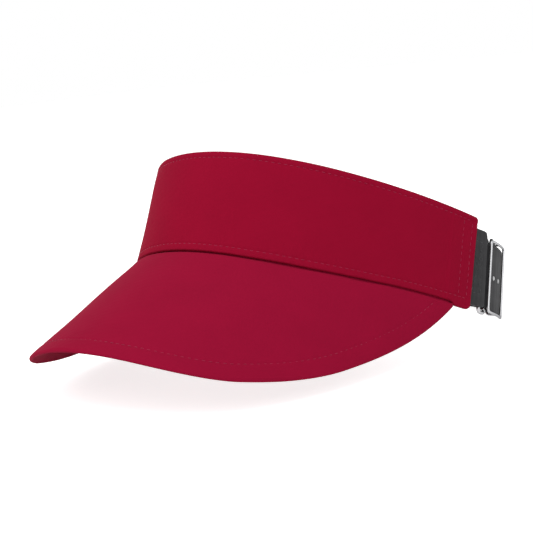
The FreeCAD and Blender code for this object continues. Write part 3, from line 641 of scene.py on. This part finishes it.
along = band_stations(HEM_LENGTH, 0.75)
heading = plan.heading(along)
to_end = HEM_LENGTH - np.abs(along)
seam = seam_height(heading) + SEAM_GAP + corner_cut(to_end, HEM_CORNER_FOOT)
edge = edge_height(heading) - corner_cut(to_end, HEM_CORNER_TOP)
foot = seam - HEM_HANG * smooth((np.abs(along) - plan.length(ROOT_END) + HANG_LEAD) / HANG_RUN)
BAND_SHELL = BAND_THICK - LINING_THICK
half_shell = BAND_SHELL / 2

outer = band_heights(foot, edge)
fold_turn = np.linspace(0, math.pi, 11)[1:-1, None]
fold_z = edge - FOLD + FOLD * np.sin(fold_turn)
fold_depth = half_shell - half_shell * np.cos(fold_turn) + 0 * along
inner = outer[::-1][:: 2]
z_rows = np.concatenate([outer, fold_z, inner])
relief = band_relief(along, outer - seam, edge - outer)
tuck = 1.1 * (1 - np.clip((outer - foot) / 0.7, 0, 1)) ** 2
depth_rows = np.concatenate([tuck - relief, fold_depth - 0.12 * np.sin(fold_turn),
                             BAND_SHELL + 0.1 * groove(edge - inner - TOP_ROW, along) + 0 * inner])
depth_rows = drawn_in(depth_rows, half_shell, to_end, 1.0)
centre_loop = np.stack([z_rows, depth_rows], -1)[:, len(along) // 2]
loop_run = np.concatenate([[0.0], np.cumsum(np.abs(np.diff(centre_loop, axis=0)).sum(1))])
uv = stacked(along, loop_run[:, None])
heading = plan.heading(along + hem_drift(along, z_rows))
band = grid_piece("band_cloth", wall(heading, depth_rows, z_rows), uv, visor_cloth, wrap=True)
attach(band, "visor")
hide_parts("front_panel", "panel_stiffener", "top_seam_allowance")

# lining: its own thin layer, turned under along the top
lining_end = HEM_LENGTH - HEM_WIDTH + 1.0
along = band_stations(lining_end, 1.5)
heading = plan.heading(along)
seam, edge = seam_height(heading) + 0.4, edge_height(heading) - 1.3
outer = between(seam, edge, np.linspace(0, 1, 26)[:, None])
proud = 0.08 * wave_noise(along, outer, 12, 18.0) + 0.15 * np.exp(-((edge - outer) / 1.2) ** 2)
proud += groove(edge + 1.3 - outer - TOP_ROW, along, 0.6, 0.15)
loops = np.concatenate([outer, outer[::-1]])
depths = np.concatenate([BAND_SHELL + 0.05 + 0 * outer, BAND_THICK + 0.1 + proud[::-1]])
depths = drawn_in(depths, (BAND_SHELL + BAND_THICK) / 2, lining_end - np.abs(along), 0.5)
uv = stacked(along, loops)
lining = grid_piece("band_lining", wall(heading, depths, loops), uv, lining_cloth, wrap=True)
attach(lining, "visor")
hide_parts("panel_lining")

# stitch rows of the band
row_end = HEM_LENGTH - HEM_ROWS[0]
along = np.linspace(-row_end, row_end, 700)
heading = plan.heading(along)
seam, edge = seam_height(heading) + 0.12, edge_height(heading)
for name, z, node, seed in (("top_stitches", edge - TOP_ROW, "top_edge_stitching", 21),
                            ("seam_stitches", seam + SEAM_ROW, "seam_stitching", 22)):
    proud = band_relief(along, z - seam, edge - z)
    path = wall(heading, -proud, z)
    row = stitches(name, path, normals_of(path), thread, seed)
    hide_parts(node)
for name, side, node in (("left_hem_stitches", 1, "left_hem_stitching"),
                         ("right_hem_stitches", -1, "right_hem_stitching")):
    for number, inset in enumerate(HEM_ROWS):
        along = np.full(120, side * (HEM_LENGTH - inset))
        turn = float(plan.heading(along[0]))
        low, high = float(seam_height(turn)) + SEAM_ROW + 1.0, float(edge_height(turn)) - TOP_ROW
        z = np.linspace(high - 0.6, low, 120)
        proud = band_relief(along, z - low + SEAM_ROW, high + TOP_ROW - z)
        path = wall(plan.heading(along + hem_drift(along, z)), -proud, z)
        out = np.tile([*outward(turn), 0.0], (120, 1))
        stitches("%s_%d" % (name, number), path, out, thread, 30 + number)
    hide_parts(node)

# facings: the turned-in cloth over the strap's sewn ends
for name, side, node, layers in (("left_facing", 1, "left_end_facing", 2),
                                 ("right_facing", -1, "right_end_facing", 1)):
    bulge = STRAP_INSET + layers * STRAP_THICK + 1.4
    steps = np.concatenate([[0, 0.2, 0.5, 0.9, 1.4], np.linspace(2, HEM_WIDTH + 1.2, 22)])
    along = side * (HEM_LENGTH - 0.5 - steps[::side])
    heading = plan.heading(along)
    inset = HEM_LENGTH - 0.5 - np.abs(along)
    seam, edge = seam_height(heading) + 0.8, edge_height(heading) - 0.9
    z = between(seam, edge, np.linspace(0, 1, 44)[:, None])
    over = smooth((HEM_WIDTH + 1.2 - inset) / 4.5) * smooth((z - seam) / 4.5) * smooth(
        (edge - z) / 5.0)
    face = BAND_SHELL + 0.25 + (bulge - BAND_SHELL) * over + 0.1 * wave_noise(z, along, 41, 9.0)
    loops = np.concatenate([z, z[::-1]])
    depths = np.concatenate([face, face[::-1] + FACING_THICK])
    uv = stacked(along, loops)
    heading = plan.heading(along + hem_drift(along, loops))
    facing = grid_piece(name, wall(heading, depths, loops), uv, lining_cloth, wrap=True, caps=True)
    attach(facing, "visor")
    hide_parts(node)

# ---------------------------------------------------------------- bill
ROOT_LENGTH = float(plan.length(ROOT_END))
RIM_LENGTH = float(rim.length(RIM_END))
half = np.concatenate([1 - np.array([0, 0.0003, 0.001, 0.002, 0.0034, 0.005, 0.007, 0.0095, 0.013,
                                     0.018, 0.025, 0.034]), np.linspace(0.957, 0, 190)])
share = np.concatenate([-half, half[::-1][1:]])
root_heading = plan.heading(share * ROOT_LENGTH)
root, lip = (on_sheet(*wall(root_heading, depth, seam_height(root_heading, depth)).T[:2])
             for depth in (BILL_ROOT, 0.0))
rim_heading = rim.heading(share * RIM_LENGTH)
rim_flat = on_sheet(*rim.at(rim_heading))
direction = unit(np.gradient(rim_flat, axis=0))
inward = np.stack([-direction[:, 1], direction[:, 0]], -1)
rim_run = run_along(rim_flat)
RIM_ROUND = RIM_THICK / 2
to_corner = np.minimum(rim_run, rim_run[-1] - rim_run)
rim_flat = rim_flat + inward * corner_cut(to_corner, BILL_CORNER)[:, None]
shoulder = rim_flat + inward * RIM_ROUND

reach = np.linalg.norm(shoulder - root, axis=1)
near_root = np.array([[0, 0.7, 1.3, 1.7, 2.0, 2.3, 2.6, 3.0, 3.5, 4.2, 5.2, 6.5]]).T
near_rim = np.concatenate([np.arange(14.0, 10.0, -1.0), np.arange(10.0, 6.6, -0.25),
                           np.arange(6.5, 0.4, -0.75), [0.4, 0.0]])[:, None]
squeeze = np.clip(reach / (near_root[-1] + near_rim[0] + 3.0), 0, 1)
low, high = squeeze * near_root, reach - squeeze * near_rim
middle = between(low[-1], high[0], np.linspace(0, 1, 30)[1:-1, None])
rows = np.concatenate([low, middle, high]) / np.maximum(reach, 1e-6)
flat = root + (shoulder - root) * rows[..., None]


def distance_to(line, points):
    """Distance from each sheet point to a polyline's nearest point."""
    return np.stack([np.sqrt(((row[:, None] - line) ** 2).sum(-1).min(1)) for row in points])


fine = np.linspace(0, 1, 1600)
fine_rim = resampled(fine * rim_run[-1], rim_run, rim_flat)
fine_lip = resampled(fine * (len(lip) - 1), np.arange(len(lip)), lip)
from_rim = distance_to(fine_rim, flat)
from_lip = distance_to(fine_lip, flat)
from_root = rows * reach
under_band = from_root < np.linalg.norm(lip - root, axis=1) * 1.02
from_lip = np.where(under_band, -from_lip, from_lip)


def bill_relief(along, up, to_rim, to_lip):
    """How far the bill's cloth stands proud of its smooth surface."""
    relief = 0.16 * wave_noise(along, up, 8, 60.0) * smooth(to_lip / 15)
    relief += groove(to_rim - RIM_ROW, along, 0.6, 0.26)
    relief += pucker(to_rim - RIM_ROW, along, 9, 4.0, 0.06)
    relief += 0.14 * np.sin(math.pi * np.clip(to_rim / RIM_ROW, 0, 1))
    return relief - 1.3 * (1 - smooth((to_lip + 0.2) / 1.2))


top_relief = bill_relief(rim_run, flat[..., 1], from_rim, from_lip)
thick = RIM_THICK + (BILL_THICK - RIM_THICK) * smooth((from_rim - RIM_ROUND) / RIM_TAPER)
under_relief = 0.12 * wave_noise(flat[..., 0], flat[..., 1], 10, 40.0) + groove(
    from_rim - RIM_ROW, rim_run, 0.6, 0.2)
turns = np.linspace(0, math.pi, 13)[1:-1, None]
crease = 0.16 * np.exp(-((turns - 1.9) / 0.22) ** 2)      # where the two cloths meet
roll = shoulder - inward * (RIM_ROUND * np.sin(turns) - crease)[..., None]
roll_depth = RIM_ROUND * (1 - np.cos(turns)) + 0 * share
all_flat = np.concatenate([flat, roll, flat[::-1]])
all_depth = np.concatenate([-top_relief, roll_depth, (thick + under_relief)[::-1]])
middle_depth = np.concatenate([thick / 2, RIM_ROUND + 0 * roll_depth, thick[::-1] / 2])
all_depth = drawn_in(all_depth, middle_depth, to_corner, 1.1)
points = sheet_point(all_flat[..., 0], all_flat[..., 1], all_depth)
split = len(flat) + len(turns) // 2 + 1
for name, first, last, nodes in (("bill_top", 0, split, ("bill_cover_top", "bill_board")),
                                 ("bill_under", split - 1, len(points),
                                  ("bill_cover_under", "bill_edge_seam"))):
    piece = grid_piece(name, points[first:last], all_flat[first:last], bill_cloth)
    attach(piece, "visor")
    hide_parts(*nodes)

keep = (rim_flat + inward * RIM_ROW)[np.abs(share) < 0.965]
run = run_along(keep)
line = resampled(np.linspace(0, run[-1], 1500), run, keep)
for name, depth, sign in (("bill_stitches", 0.24, 1), ("bill_stitches_under", BILL_THICK - 0.12,
                                                       -1)):
    path = sheet_point(*line.T, depth)
    out = sign * (sheet_point(*line.T, -1.0) - sheet_point(*line.T, 0.0))
    row = stitches(name, path, out, thread, 50)
    if sign > 0:
        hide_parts("bill_stitching")

# ---------------------------------------------------------------- sweatband
sweat_end = HEM_LENGTH - HEM_WIDTH - 0.3
along = band_stations(sweat_end, 1.1)
heading = plan.heading(along)
base = seam_height(heading)
low = base + SWEAT_FOOT
high = np.minimum(base + SWEAT_TOP, edge_height(heading) - SWEAT_DROP)
turns = np.linspace(0, math.tau, 97)[:-1, None]
across = -np.cos(turns)
place = (np.copysign(np.abs(across) ** 0.55, across) + 1) / 2
rows_z = between(low, high, place)
plump = 1 - 0.5 * np.exp(-((high - rows_z - 3.0) / 1.3) ** 2) - 0.12 * (2 * place - 1) ** 6
plump += 0.05 * wave_noise(along, rows_z, 14, 12.0)
rows_depth = SWEAT_OUT + SWEAT_THICK * plump * np.maximum(np.sin(turns), 0) ** 0.45
rows_depth += 0.07 * wave_noise(along * 6, rows_z * 6, 15, 9.0) * (rows_depth > SWEAT_OUT + 0.5)
rows_depth = drawn_in(rows_depth, SWEAT_OUT + SWEAT_THICK / 2, sweat_end - np.abs(along), 1.3)
sweat = grid_piece("sweatband", wall(heading, rows_depth, rows_z),
                   stacked(along, rows_z), terry, wrap=True)
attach(sweat, "visor")
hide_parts("sweatband_cover", "sweatband_foam")

# ---------------------------------------------------------------- strap
EYELET = RING_WIRE / 2 + FIT + STRAP_THICK
BAR_CIRCLE = CLOSURE_RADIUS - EYELET
TAB_BAR = math.radians(TAB_BAR_TURN)
STRAP_BAR = TAB_BAR + RING_PITCH / (CLOSURE_RADIUS - STRAP_THICK)
SLIDER = math.radians(SLIDER_TURN)
STRAP_HIGH = STRAP_LOW + STRAP_WIDTH
SPLIT_TURN = STRAP_BAR + SPLIT_RUN / CLOSURE_RADIUS      # the strap's moving front ends here


def closure_point(radius, heading):
    return around(closure_centre, radius, heading)


def arc_path(centre, radius, first, last, step, facing=1):
    """Points and normals of a level arc; facing is 1 outwards and -1 inwards."""
    turn = np.linspace(first, last, max(2, int(abs(last - first) * radius / step) + 1))
    return around(centre, radius, turn), facing * outward(turn)


def leaned(points):
    """Closure points that lean in towards the top with the band, each about its own arc."""
    x, y, z = np.moveaxis(np.asarray(points), -1, 0)
    rear = np.arctan2(np.abs(x), back_centre[1] - y) > CLOSURE_END
    centre_x = np.where(rear, 0.0, np.sign(x) * closure_centre[0])
    centre_y = np.where(rear, back_centre[1], closure_centre[1])
    reach = np.hypot(x - centre_x, y - centre_y)
    inward = LEAN * (z - LEAN_LEVEL) / reach
    return stacked(x - inward * (x - centre_x), y - inward * (y - centre_y), z)


def ribbon(name, path, out, edges=None, caps=True):
    """A woven strap whose outer face follows a level path, with rounded selvedges and ribs."""
    run = run_along(path)
    low = STRAP_LOW + STRAP_RISE * np.maximum(0, path[:, 1] - LOW_RISE_START)
    high = STRAP_HIGH + STRAP_STRETCH + STRAP_RISE * np.maximum(0, path[:, 1] - HIGH_RISE_START)
    if edges is not None:
        low, high = edges(run, low, high)
    turn = np.linspace(0, math.pi, 9)[1:-1]
    up = np.linspace(0, 1, 76)
    flat, edge = 0 * up, 0 * turn
    across = np.concatenate([up, edge + 1, up[::-1], edge])
    over = np.concatenate([flat, np.sin(turn), flat, -np.sin(turn)]) * STRAP_THICK / 2
    deep = np.concatenate([flat, (1 - np.cos(turn)) / 2, flat + 1, (1 + np.cos(turn)) / 2])
    rib = np.concatenate([flat - 1, edge, flat + 1, edge]) * 0.035 * np.cos(
        2 * math.pi * across * STRAP_WIDTH / RIB_PITCH)
    low, high = low + STRAP_THICK / 2, high - STRAP_THICK / 2
    z = low + (high - low) * across[:, None] + over[:, None]
    depth = (deep * STRAP_THICK + rib)[:, None]
    points = stacked(path[:, 0] - out[:, 0] * depth, path[:, 1] - out[:, 1] * depth, z)
    return grid_piece(name, leaned(points), stacked(run, z), webbing, wrap=True, caps=caps)


def chain_paths(*pieces):
    """Joins paths end to end, dropping the repeated points."""
    first, *rest = pieces
    return [np.concatenate([first[k]] + [piece[k][1:] for piece in rest]) for k in (0, 1)]


def round_bar(centre, radius, first):
    """Half a turn round a bar, a little squarer than a circle, as pressed webbing lies."""
    turn = np.linspace(0, math.pi, 26)
    out = outward(first + turn)
    fuller = (np.abs(np.sin(turn)) ** 3 + np.abs(np.cos(turn)) ** 3) ** (-1 / 3)
    return centre + radius * fuller[:, None] * out, out


# tab: from inside the left hem, round the ring's near bar and back
sewn = HEM - SEWN_RUN / CLOSURE_RADIUS
tab_centre = closure_point(BAR_CIRCLE, TAB_BAR)
outer_layer = arc_path(closure_centre, CLOSURE_RADIUS, sewn, TAB_BAR, 0.7)
turned = round_bar(tab_centre, EYELET, TAB_BAR)
deepest = CLOSURE_RADIUS - 2 * EYELET
share = np.linspace(0, 1, 10)
turn = TAB_BAR - share * TAB_CLOSING / CLOSURE_RADIUS
closing = closure_point(deepest + 2 * (EYELET - STRAP_THICK) * smooth(share), turn), -outward(turn)
back_turn = np.linspace(turn[-1], sewn, 14)
inner_layer = closure_point(CLOSURE_RADIUS - 2 * STRAP_THICK, back_turn), -outward(back_turn)
path, out = chain_paths(outer_layer, turned, closing, inner_layer)
fold_run = CLOSURE_RADIUS * (TAB_BAR - sewn) + EYELET * math.pi / 2


def tab_edges(run, low, high):
    """The sewn tab is wider than the strap, and narrows where it turns round the ring's bar."""
    from_fold = np.abs(run - fold_run) - EYELET
    extra = (TAB_WIDTH - STRAP_WIDTH) * end_round(np.maximum(from_fold, 0), TAB_CUT)
    cut = 0.9 * np.exp(-((run - fold_run) / 3.4) ** 4)
    return low + cut, high + extra - cut


tab = ribbon("strap_tab", path, out, edges=tab_edges)
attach(tab, "visor")
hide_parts("ring_tab")

# back of the strap: from under the slider round the back into the right hem
mirror_centre = (-closure_centre[0], closure_centre[1])
path, out = chain_paths(
    arc_path(closure_centre, CLOSURE_RADIUS, SPLIT_TURN, CLOSURE_END, 1.6),
    arc_path(back_centre, back_radius, CLOSURE_END, math.tau - CLOSURE_END, 2.4),
    arc_path(mirror_centre, CLOSURE_RADIUS, math.tau - CLOSURE_END, math.tau - sewn, 1.6))
strap = ribbon("back_strap_web", path, out, caps=False)
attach(strap, "visor")
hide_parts("back_strap")

# the strap's moving front: over the ring's far bar
far_centre = closure_point(BAR_CIRCLE, STRAP_BAR)
FOLD_END = STRAP_BAR + FOLD_LENGTH / CLOSURE_RADIUS
path, out = chain_paths(
    arc_path(closure_centre, CLOSURE_RADIUS, SPLIT_TURN, STRAP_BAR, 0.8),
    [array[::-1] for array in round_bar(far_centre, EYELET, STRAP_BAR - math.pi)],
    arc_path(closure_centre, deepest, STRAP_BAR, FOLD_END, 0.5, facing=-1))
front_run = CLOSURE_RADIUS * (SPLIT_TURN - STRAP_BAR) + EYELET * math.pi / 2


def front_edges(run, low, high):
    """The strap's upper edge rises to meet the wider tab, and its fold narrows."""
    cut = 0.8 * np.exp(-((run - front_run) / 3.2) ** 4)
    peak = STRAP_PEAK * smooth(run / 5.0) * (1 - smooth((run - front_run + 4.5) / 3))
    return low + cut, high + peak - cut


front = ribbon("strap_front", path, out, edges=front_edges, caps=False)
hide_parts("strap_fold")


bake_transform(front)

# return layer: on the inside, from the fold to the slider's middle bar
LOOP_EYE = MIDDLE_BAR / 2 + FIT + STRAP_THICK
MIDDLE_CIRCLE = CLOSURE_RADIUS - STRAP_THICK - FIT - LOOP_EYE
LOOP_START = SLIDER - (LOOP_EYE + LOOP_TAIL) / MIDDLE_CIRCLE
turn = np.linspace(FOLD_END, LOOP_START + 0.012, 90)
web = ribbon("return_web", closure_point(deepest, turn), -outward(turn))
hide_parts("return_strap")
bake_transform(web)

# loop round the slider's middle bar
bar_centre = closure_point(MIDDLE_CIRCLE, SLIDER)
tail = closure_point(deepest + STRAP_THICK / 2, LOOP_START)
to_tail = math.atan2(tail[1] - bar_centre[1], tail[0] - bar_centre[0])
span = math.hypot(*(tail - bar_centre))
opening = math.acos(LOOP_EYE / span)
angles = np.linspace(to_tail + opening, to_tail + 2 * math.pi - opening, 40)
circle_out = np.stack([np.cos(angles), np.sin(angles)], -1)
circle = bar_centre + LOOP_EYE * circle_out
lead = np.linspace(0, 1, 8)[:-1, None]
path = np.concatenate([tail + (circle[0] - tail) * lead, circle,
                       circle[-1] + (tail - circle[-1]) * (1 - lead[::-1])])
out = np.concatenate([np.tile(circle_out[0], (7, 1)), circle_out, np.tile(circle_out[-1], (7, 1))])
loop = ribbon("slider_loop_web", path, out)
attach(loop, "slider")
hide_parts("slider_loop")

# ---------------------------------------------------------------- slider, ring, dots, box stitch
NEAR_BAR = SLIDER - SLIDER_SPAN / 2 / CLOSURE_RADIUS
FAR_BAR = SLIDER + SLIDER_SPAN / 2 / CLOSURE_RADIUS
plate_radius = CLOSURE_RADIUS + FIT + SLIDER_WIRE / 2
rail_high = STRAP_HIGH + SLIDER_EDGE_GAP + SLIDER_WIRE / 2
rail_low = STRAP_LOW - SLIDER_EDGE_GAP - SLIDER_WIRE / 2


def rounded_rectangle(left, right, low, high, radius):
    """The dense outline of a rectangle with rounded corners."""
    corners = np.array([(left, low), (right, low), (right, high), (left, high)])
    points = []
    for index, corner in enumerate(corners):
        before, after = corners[index - 1], corners[(index + 1) % 4]
        a, b = unit(before - corner), unit(after - corner)
        for share in np.linspace(0, 1, 9):
            points.append(between(corner + a * radius * (1 - share), corner + b * radius * share,
                                  share))
        length = np.linalg.norm(after - corner) - 2 * radius
        for share in np.linspace(0, 1, max(2, int(length / WIRE_STEP)))[1:-1]:
            points.append(corner + b * (radius + share * length))
    return np.array(points)


outline = rounded_rectangle(NEAR_BAR * CLOSURE_RADIUS, FAR_BAR * CLOSURE_RADIUS, rail_low,
                            rail_high, SLIDER_CORNER)
spots = closure_point(plate_radius, outline[:, 0] / CLOSURE_RADIUS)
frame_points, frame_faces = tube(np.column_stack([spots, outline[:, 1]]), SLIDER_WIRE / 2,
                                 WIRE_SIDES, closed=True)
# the middle bar runs behind the strap, between two legs bent in from the rails
share = np.linspace(0, 1, 8)
near_leg, near_bar = LEG_BEND * (1 - share) ** 2, LEG_BEND * share ** 2
leg_line = np.concatenate([[(plate_radius, rail_high)],
                           np.column_stack([MIDDLE_CIRCLE + near_leg, rail_high - near_bar]),
                           np.column_stack([MIDDLE_CIRCLE + near_bar, rail_low + near_leg]),
                           [(plate_radius, rail_low)]])
dense = [leg_line[0]]
for a, b in zip(leg_line, leg_line[1:]):
    steps = max(1, int(np.linalg.norm(b - a) / LEG_STEP))
    dense += [a + (b - a) * (n + 1) / steps for n in range(steps)]
dense = np.array(dense)
leg_points, leg_faces = tube(np.column_stack([closure_point(dense[:, 0], SLIDER), dense[:, 1]]),
                             SLIDER_WIRE / 2, WIRE_SIDES)
offset = len(frame_points)
slider_frame = make("slider_wire", leaned(np.concatenate([frame_points, leg_points])),
                    frame_faces + [[index + offset for index in face] for face in leg_faces],
                    material=metal)
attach(slider_frame, "slider")
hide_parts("slider_frame")

ring_width = np.linalg.norm(far_centre - tab_centre)
ring_edge = RING_EDGE_GAP + RING_WIRE / 2
outline = rounded_rectangle(0.0, ring_width, STRAP_LOW - ring_edge, STRAP_HIGH + ring_edge,
                            RING_CORNER)
spots = tab_centre + outline[:, :1] * unit(far_centre - tab_centre)
ring_points, ring_faces = tube(np.column_stack([spots, outline[:, 1]]), RING_WIRE / 2,
                               WIRE_SIDES, closed=True)
ring = make("ring_wire", leaned(ring_points), ring_faces, material=metal)
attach(ring, "ring")
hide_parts("wire_ring")

dot_points, dot_faces = [], []
spin = (np.arange(20) * math.pi / 10)[:, None]
for number in range(2):
    turn = SLIDER + (number - 0.5) * DOT_PITCH / CLOSURE_RADIUS
    centre = np.append(closure_point(CLOSURE_RADIUS, turn), STRAP_LOW + STRAP_WIDTH / 2)
    out, side = np.append(outward(turn), 0.0), np.array([math.cos(turn), math.sin(turn), 0.0])
    circle = DOT_DIAMETER / 2 * (side * np.cos(spin) + np.array([0, 0, 1.0]) * np.sin(spin))
    start = len(dot_points)
    for width, height in ((1.0, -0.05), (1.0, 0.4), (0.93, 0.75), (0.7, 0.95), (0.35, 1.0)):
        dot_points.extend(centre + out * height * DOT_HEIGHT + width * circle)
    faces = grid_faces(5, 20, round_cols=True) + [range(80, 100)]
    dot_faces += [[start + index for index in face] for face in faces]
dots = make("strap_dots", leaned(dot_points), dot_faces, material=marker)
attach(dots, "visor")
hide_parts("marker_dots")

box_first, box_last = HEM + 2.3 / CLOSURE_RADIUS, TAB_BAR - (EYELET + 0.7) / CLOSURE_RADIUS
box_low, box_high = STRAP_LOW + BOX_INSET, STRAP_LOW + TAB_WIDTH - BOX_INSET
box = np.array([(box_first, box_low), (box_first, box_high), (box_last, box_high),
                (box_last, box_low)])
for number, (a, b) in enumerate(((0, 1), (1, 2), (2, 3), (3, 0), (0, 2), (1, 3))):
    turn, z = between(box[a], box[b], np.linspace(0, 1, 60)[:, None]).T
    path = leaned(np.column_stack([closure_point(CLOSURE_RADIUS, turn), z]))
    out = np.column_stack([outward(turn), 0 * turn])
    row = stitches("tab_box_%d" % number, path, out, strap_thread, 60 + number, lift=0.05)
    if number == 0:
        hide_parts("tab_box_stitching")

# ---------------------------------------------------------------- floor, light and camera
scene = bpy.context.scene
scene.view_settings.view_transform = "Standard"


def seen_or_mirrored(tree):
    """1 for rays from the camera and for what gloss and glass show, otherwise 0."""
    rays = tree.nodes.new("ShaderNodeLightPath").outputs
    either = math_node(tree, "MAXIMUM", rays["Is Camera Ray"], rays["Is Glossy Ray"])
    return math_node(tree, "MAXIMUM", either, rays["Is Transmission Ray"])


floor_mesh = bpy.data.meshes.new("floor")
floor_mesh.from_pydata([(-6, -6, -0.0005), (6, -6, -0.0005), (6, 6, -0.0005), (-6, 6, -0.0005)],
                       [], [(0, 1, 2, 3)])
floor = bpy.data.objects.new("floor", floor_mesh)
scene.collection.objects.link(floor)
paper, tree = new_material("paper", {
    "Base Color": (0.9, 0.9, 0.9, 1.0), "Roughness": 0.9, "Emission Color": (1.0, 1.0, 1.0, 1.0)})
tree.links.new(math_node(tree, "MULTIPLY", seen_or_mirrored(tree), 0.7),
               tree.nodes[SHADER].inputs["Emission Strength"])
floor_mesh.materials.append(paper)

world = bpy.data.worlds.new("studio")
scene.world = world
world.use_nodes = True
tree = world.node_tree
background = tree.nodes["Background"].inputs
background["Color"].default_value = (1.0, 1.0, 1.0, 1.0)
tree.links.new(range_node(tree, seen_or_mirrored(tree), 0.5, 1.0), background["Strength"])


def soft_light(name, place, width, power):
    """A large square lamp that shines on the visor, its place in metres."""
    lamp = bpy.data.lights.new(name, "AREA")
    lamp.shape, lamp.size, lamp.energy = "SQUARE", width, power
    holder = bpy.data.objects.new(name, lamp)
    holder.location = place
    away = Vector((0, 0, 0.05)) - Vector(place)
    holder.rotation_euler = away.to_track_quat("-Z", "Y").to_euler()
    scene.collection.objects.link(holder)


soft_light("overhead", (0.1, -0.5, 1.6), 1.6, 11.5)
soft_light("front_left", (-0.9, -1.3, 0.9), 1.2, 8)
soft_light("front_right", (1.5, -0.7, 0.7), 1.0, 5)

# the camera, in the hat frame
AZIMUTH, ELEVATION, ROLL = math.radians(40.53), math.radians(-8.22), math.radians(8.14)
DISTANCE, ACROSS, UP = 712.4, -20.29, 11.54
SENSOR, LENS = 36.0, 91.95
back = Vector((math.sin(AZIMUTH) * math.cos(ELEVATION), -math.cos(AZIMUTH) * math.cos(ELEVATION),
               math.sin(ELEVATION)))
right = Vector((math.cos(AZIMUTH), math.sin(AZIMUTH), 0.0))
upward = back.cross(right)
across = right * math.cos(ROLL) + upward * math.sin(ROLL)
over = -right * math.sin(ROLL) + upward * math.cos(ROLL)
eye = across * ACROSS + over * UP + back * DISTANCE
camera_data = bpy.data.cameras.new("camera")
camera_data.sensor_width, camera_data.lens = SENSOR, LENS
camera_data.clip_start, camera_data.clip_end = 0.02, 50.0
camera = bpy.data.objects.new("camera", camera_data)
axes = Matrix((across, over, back)).transposed()
camera.matrix_world = Matrix.Translation(Vector(to_row(eye))) @ (TIP @ axes).to_4x4()
scene.collection.objects.link(camera)
scene.camera = camera
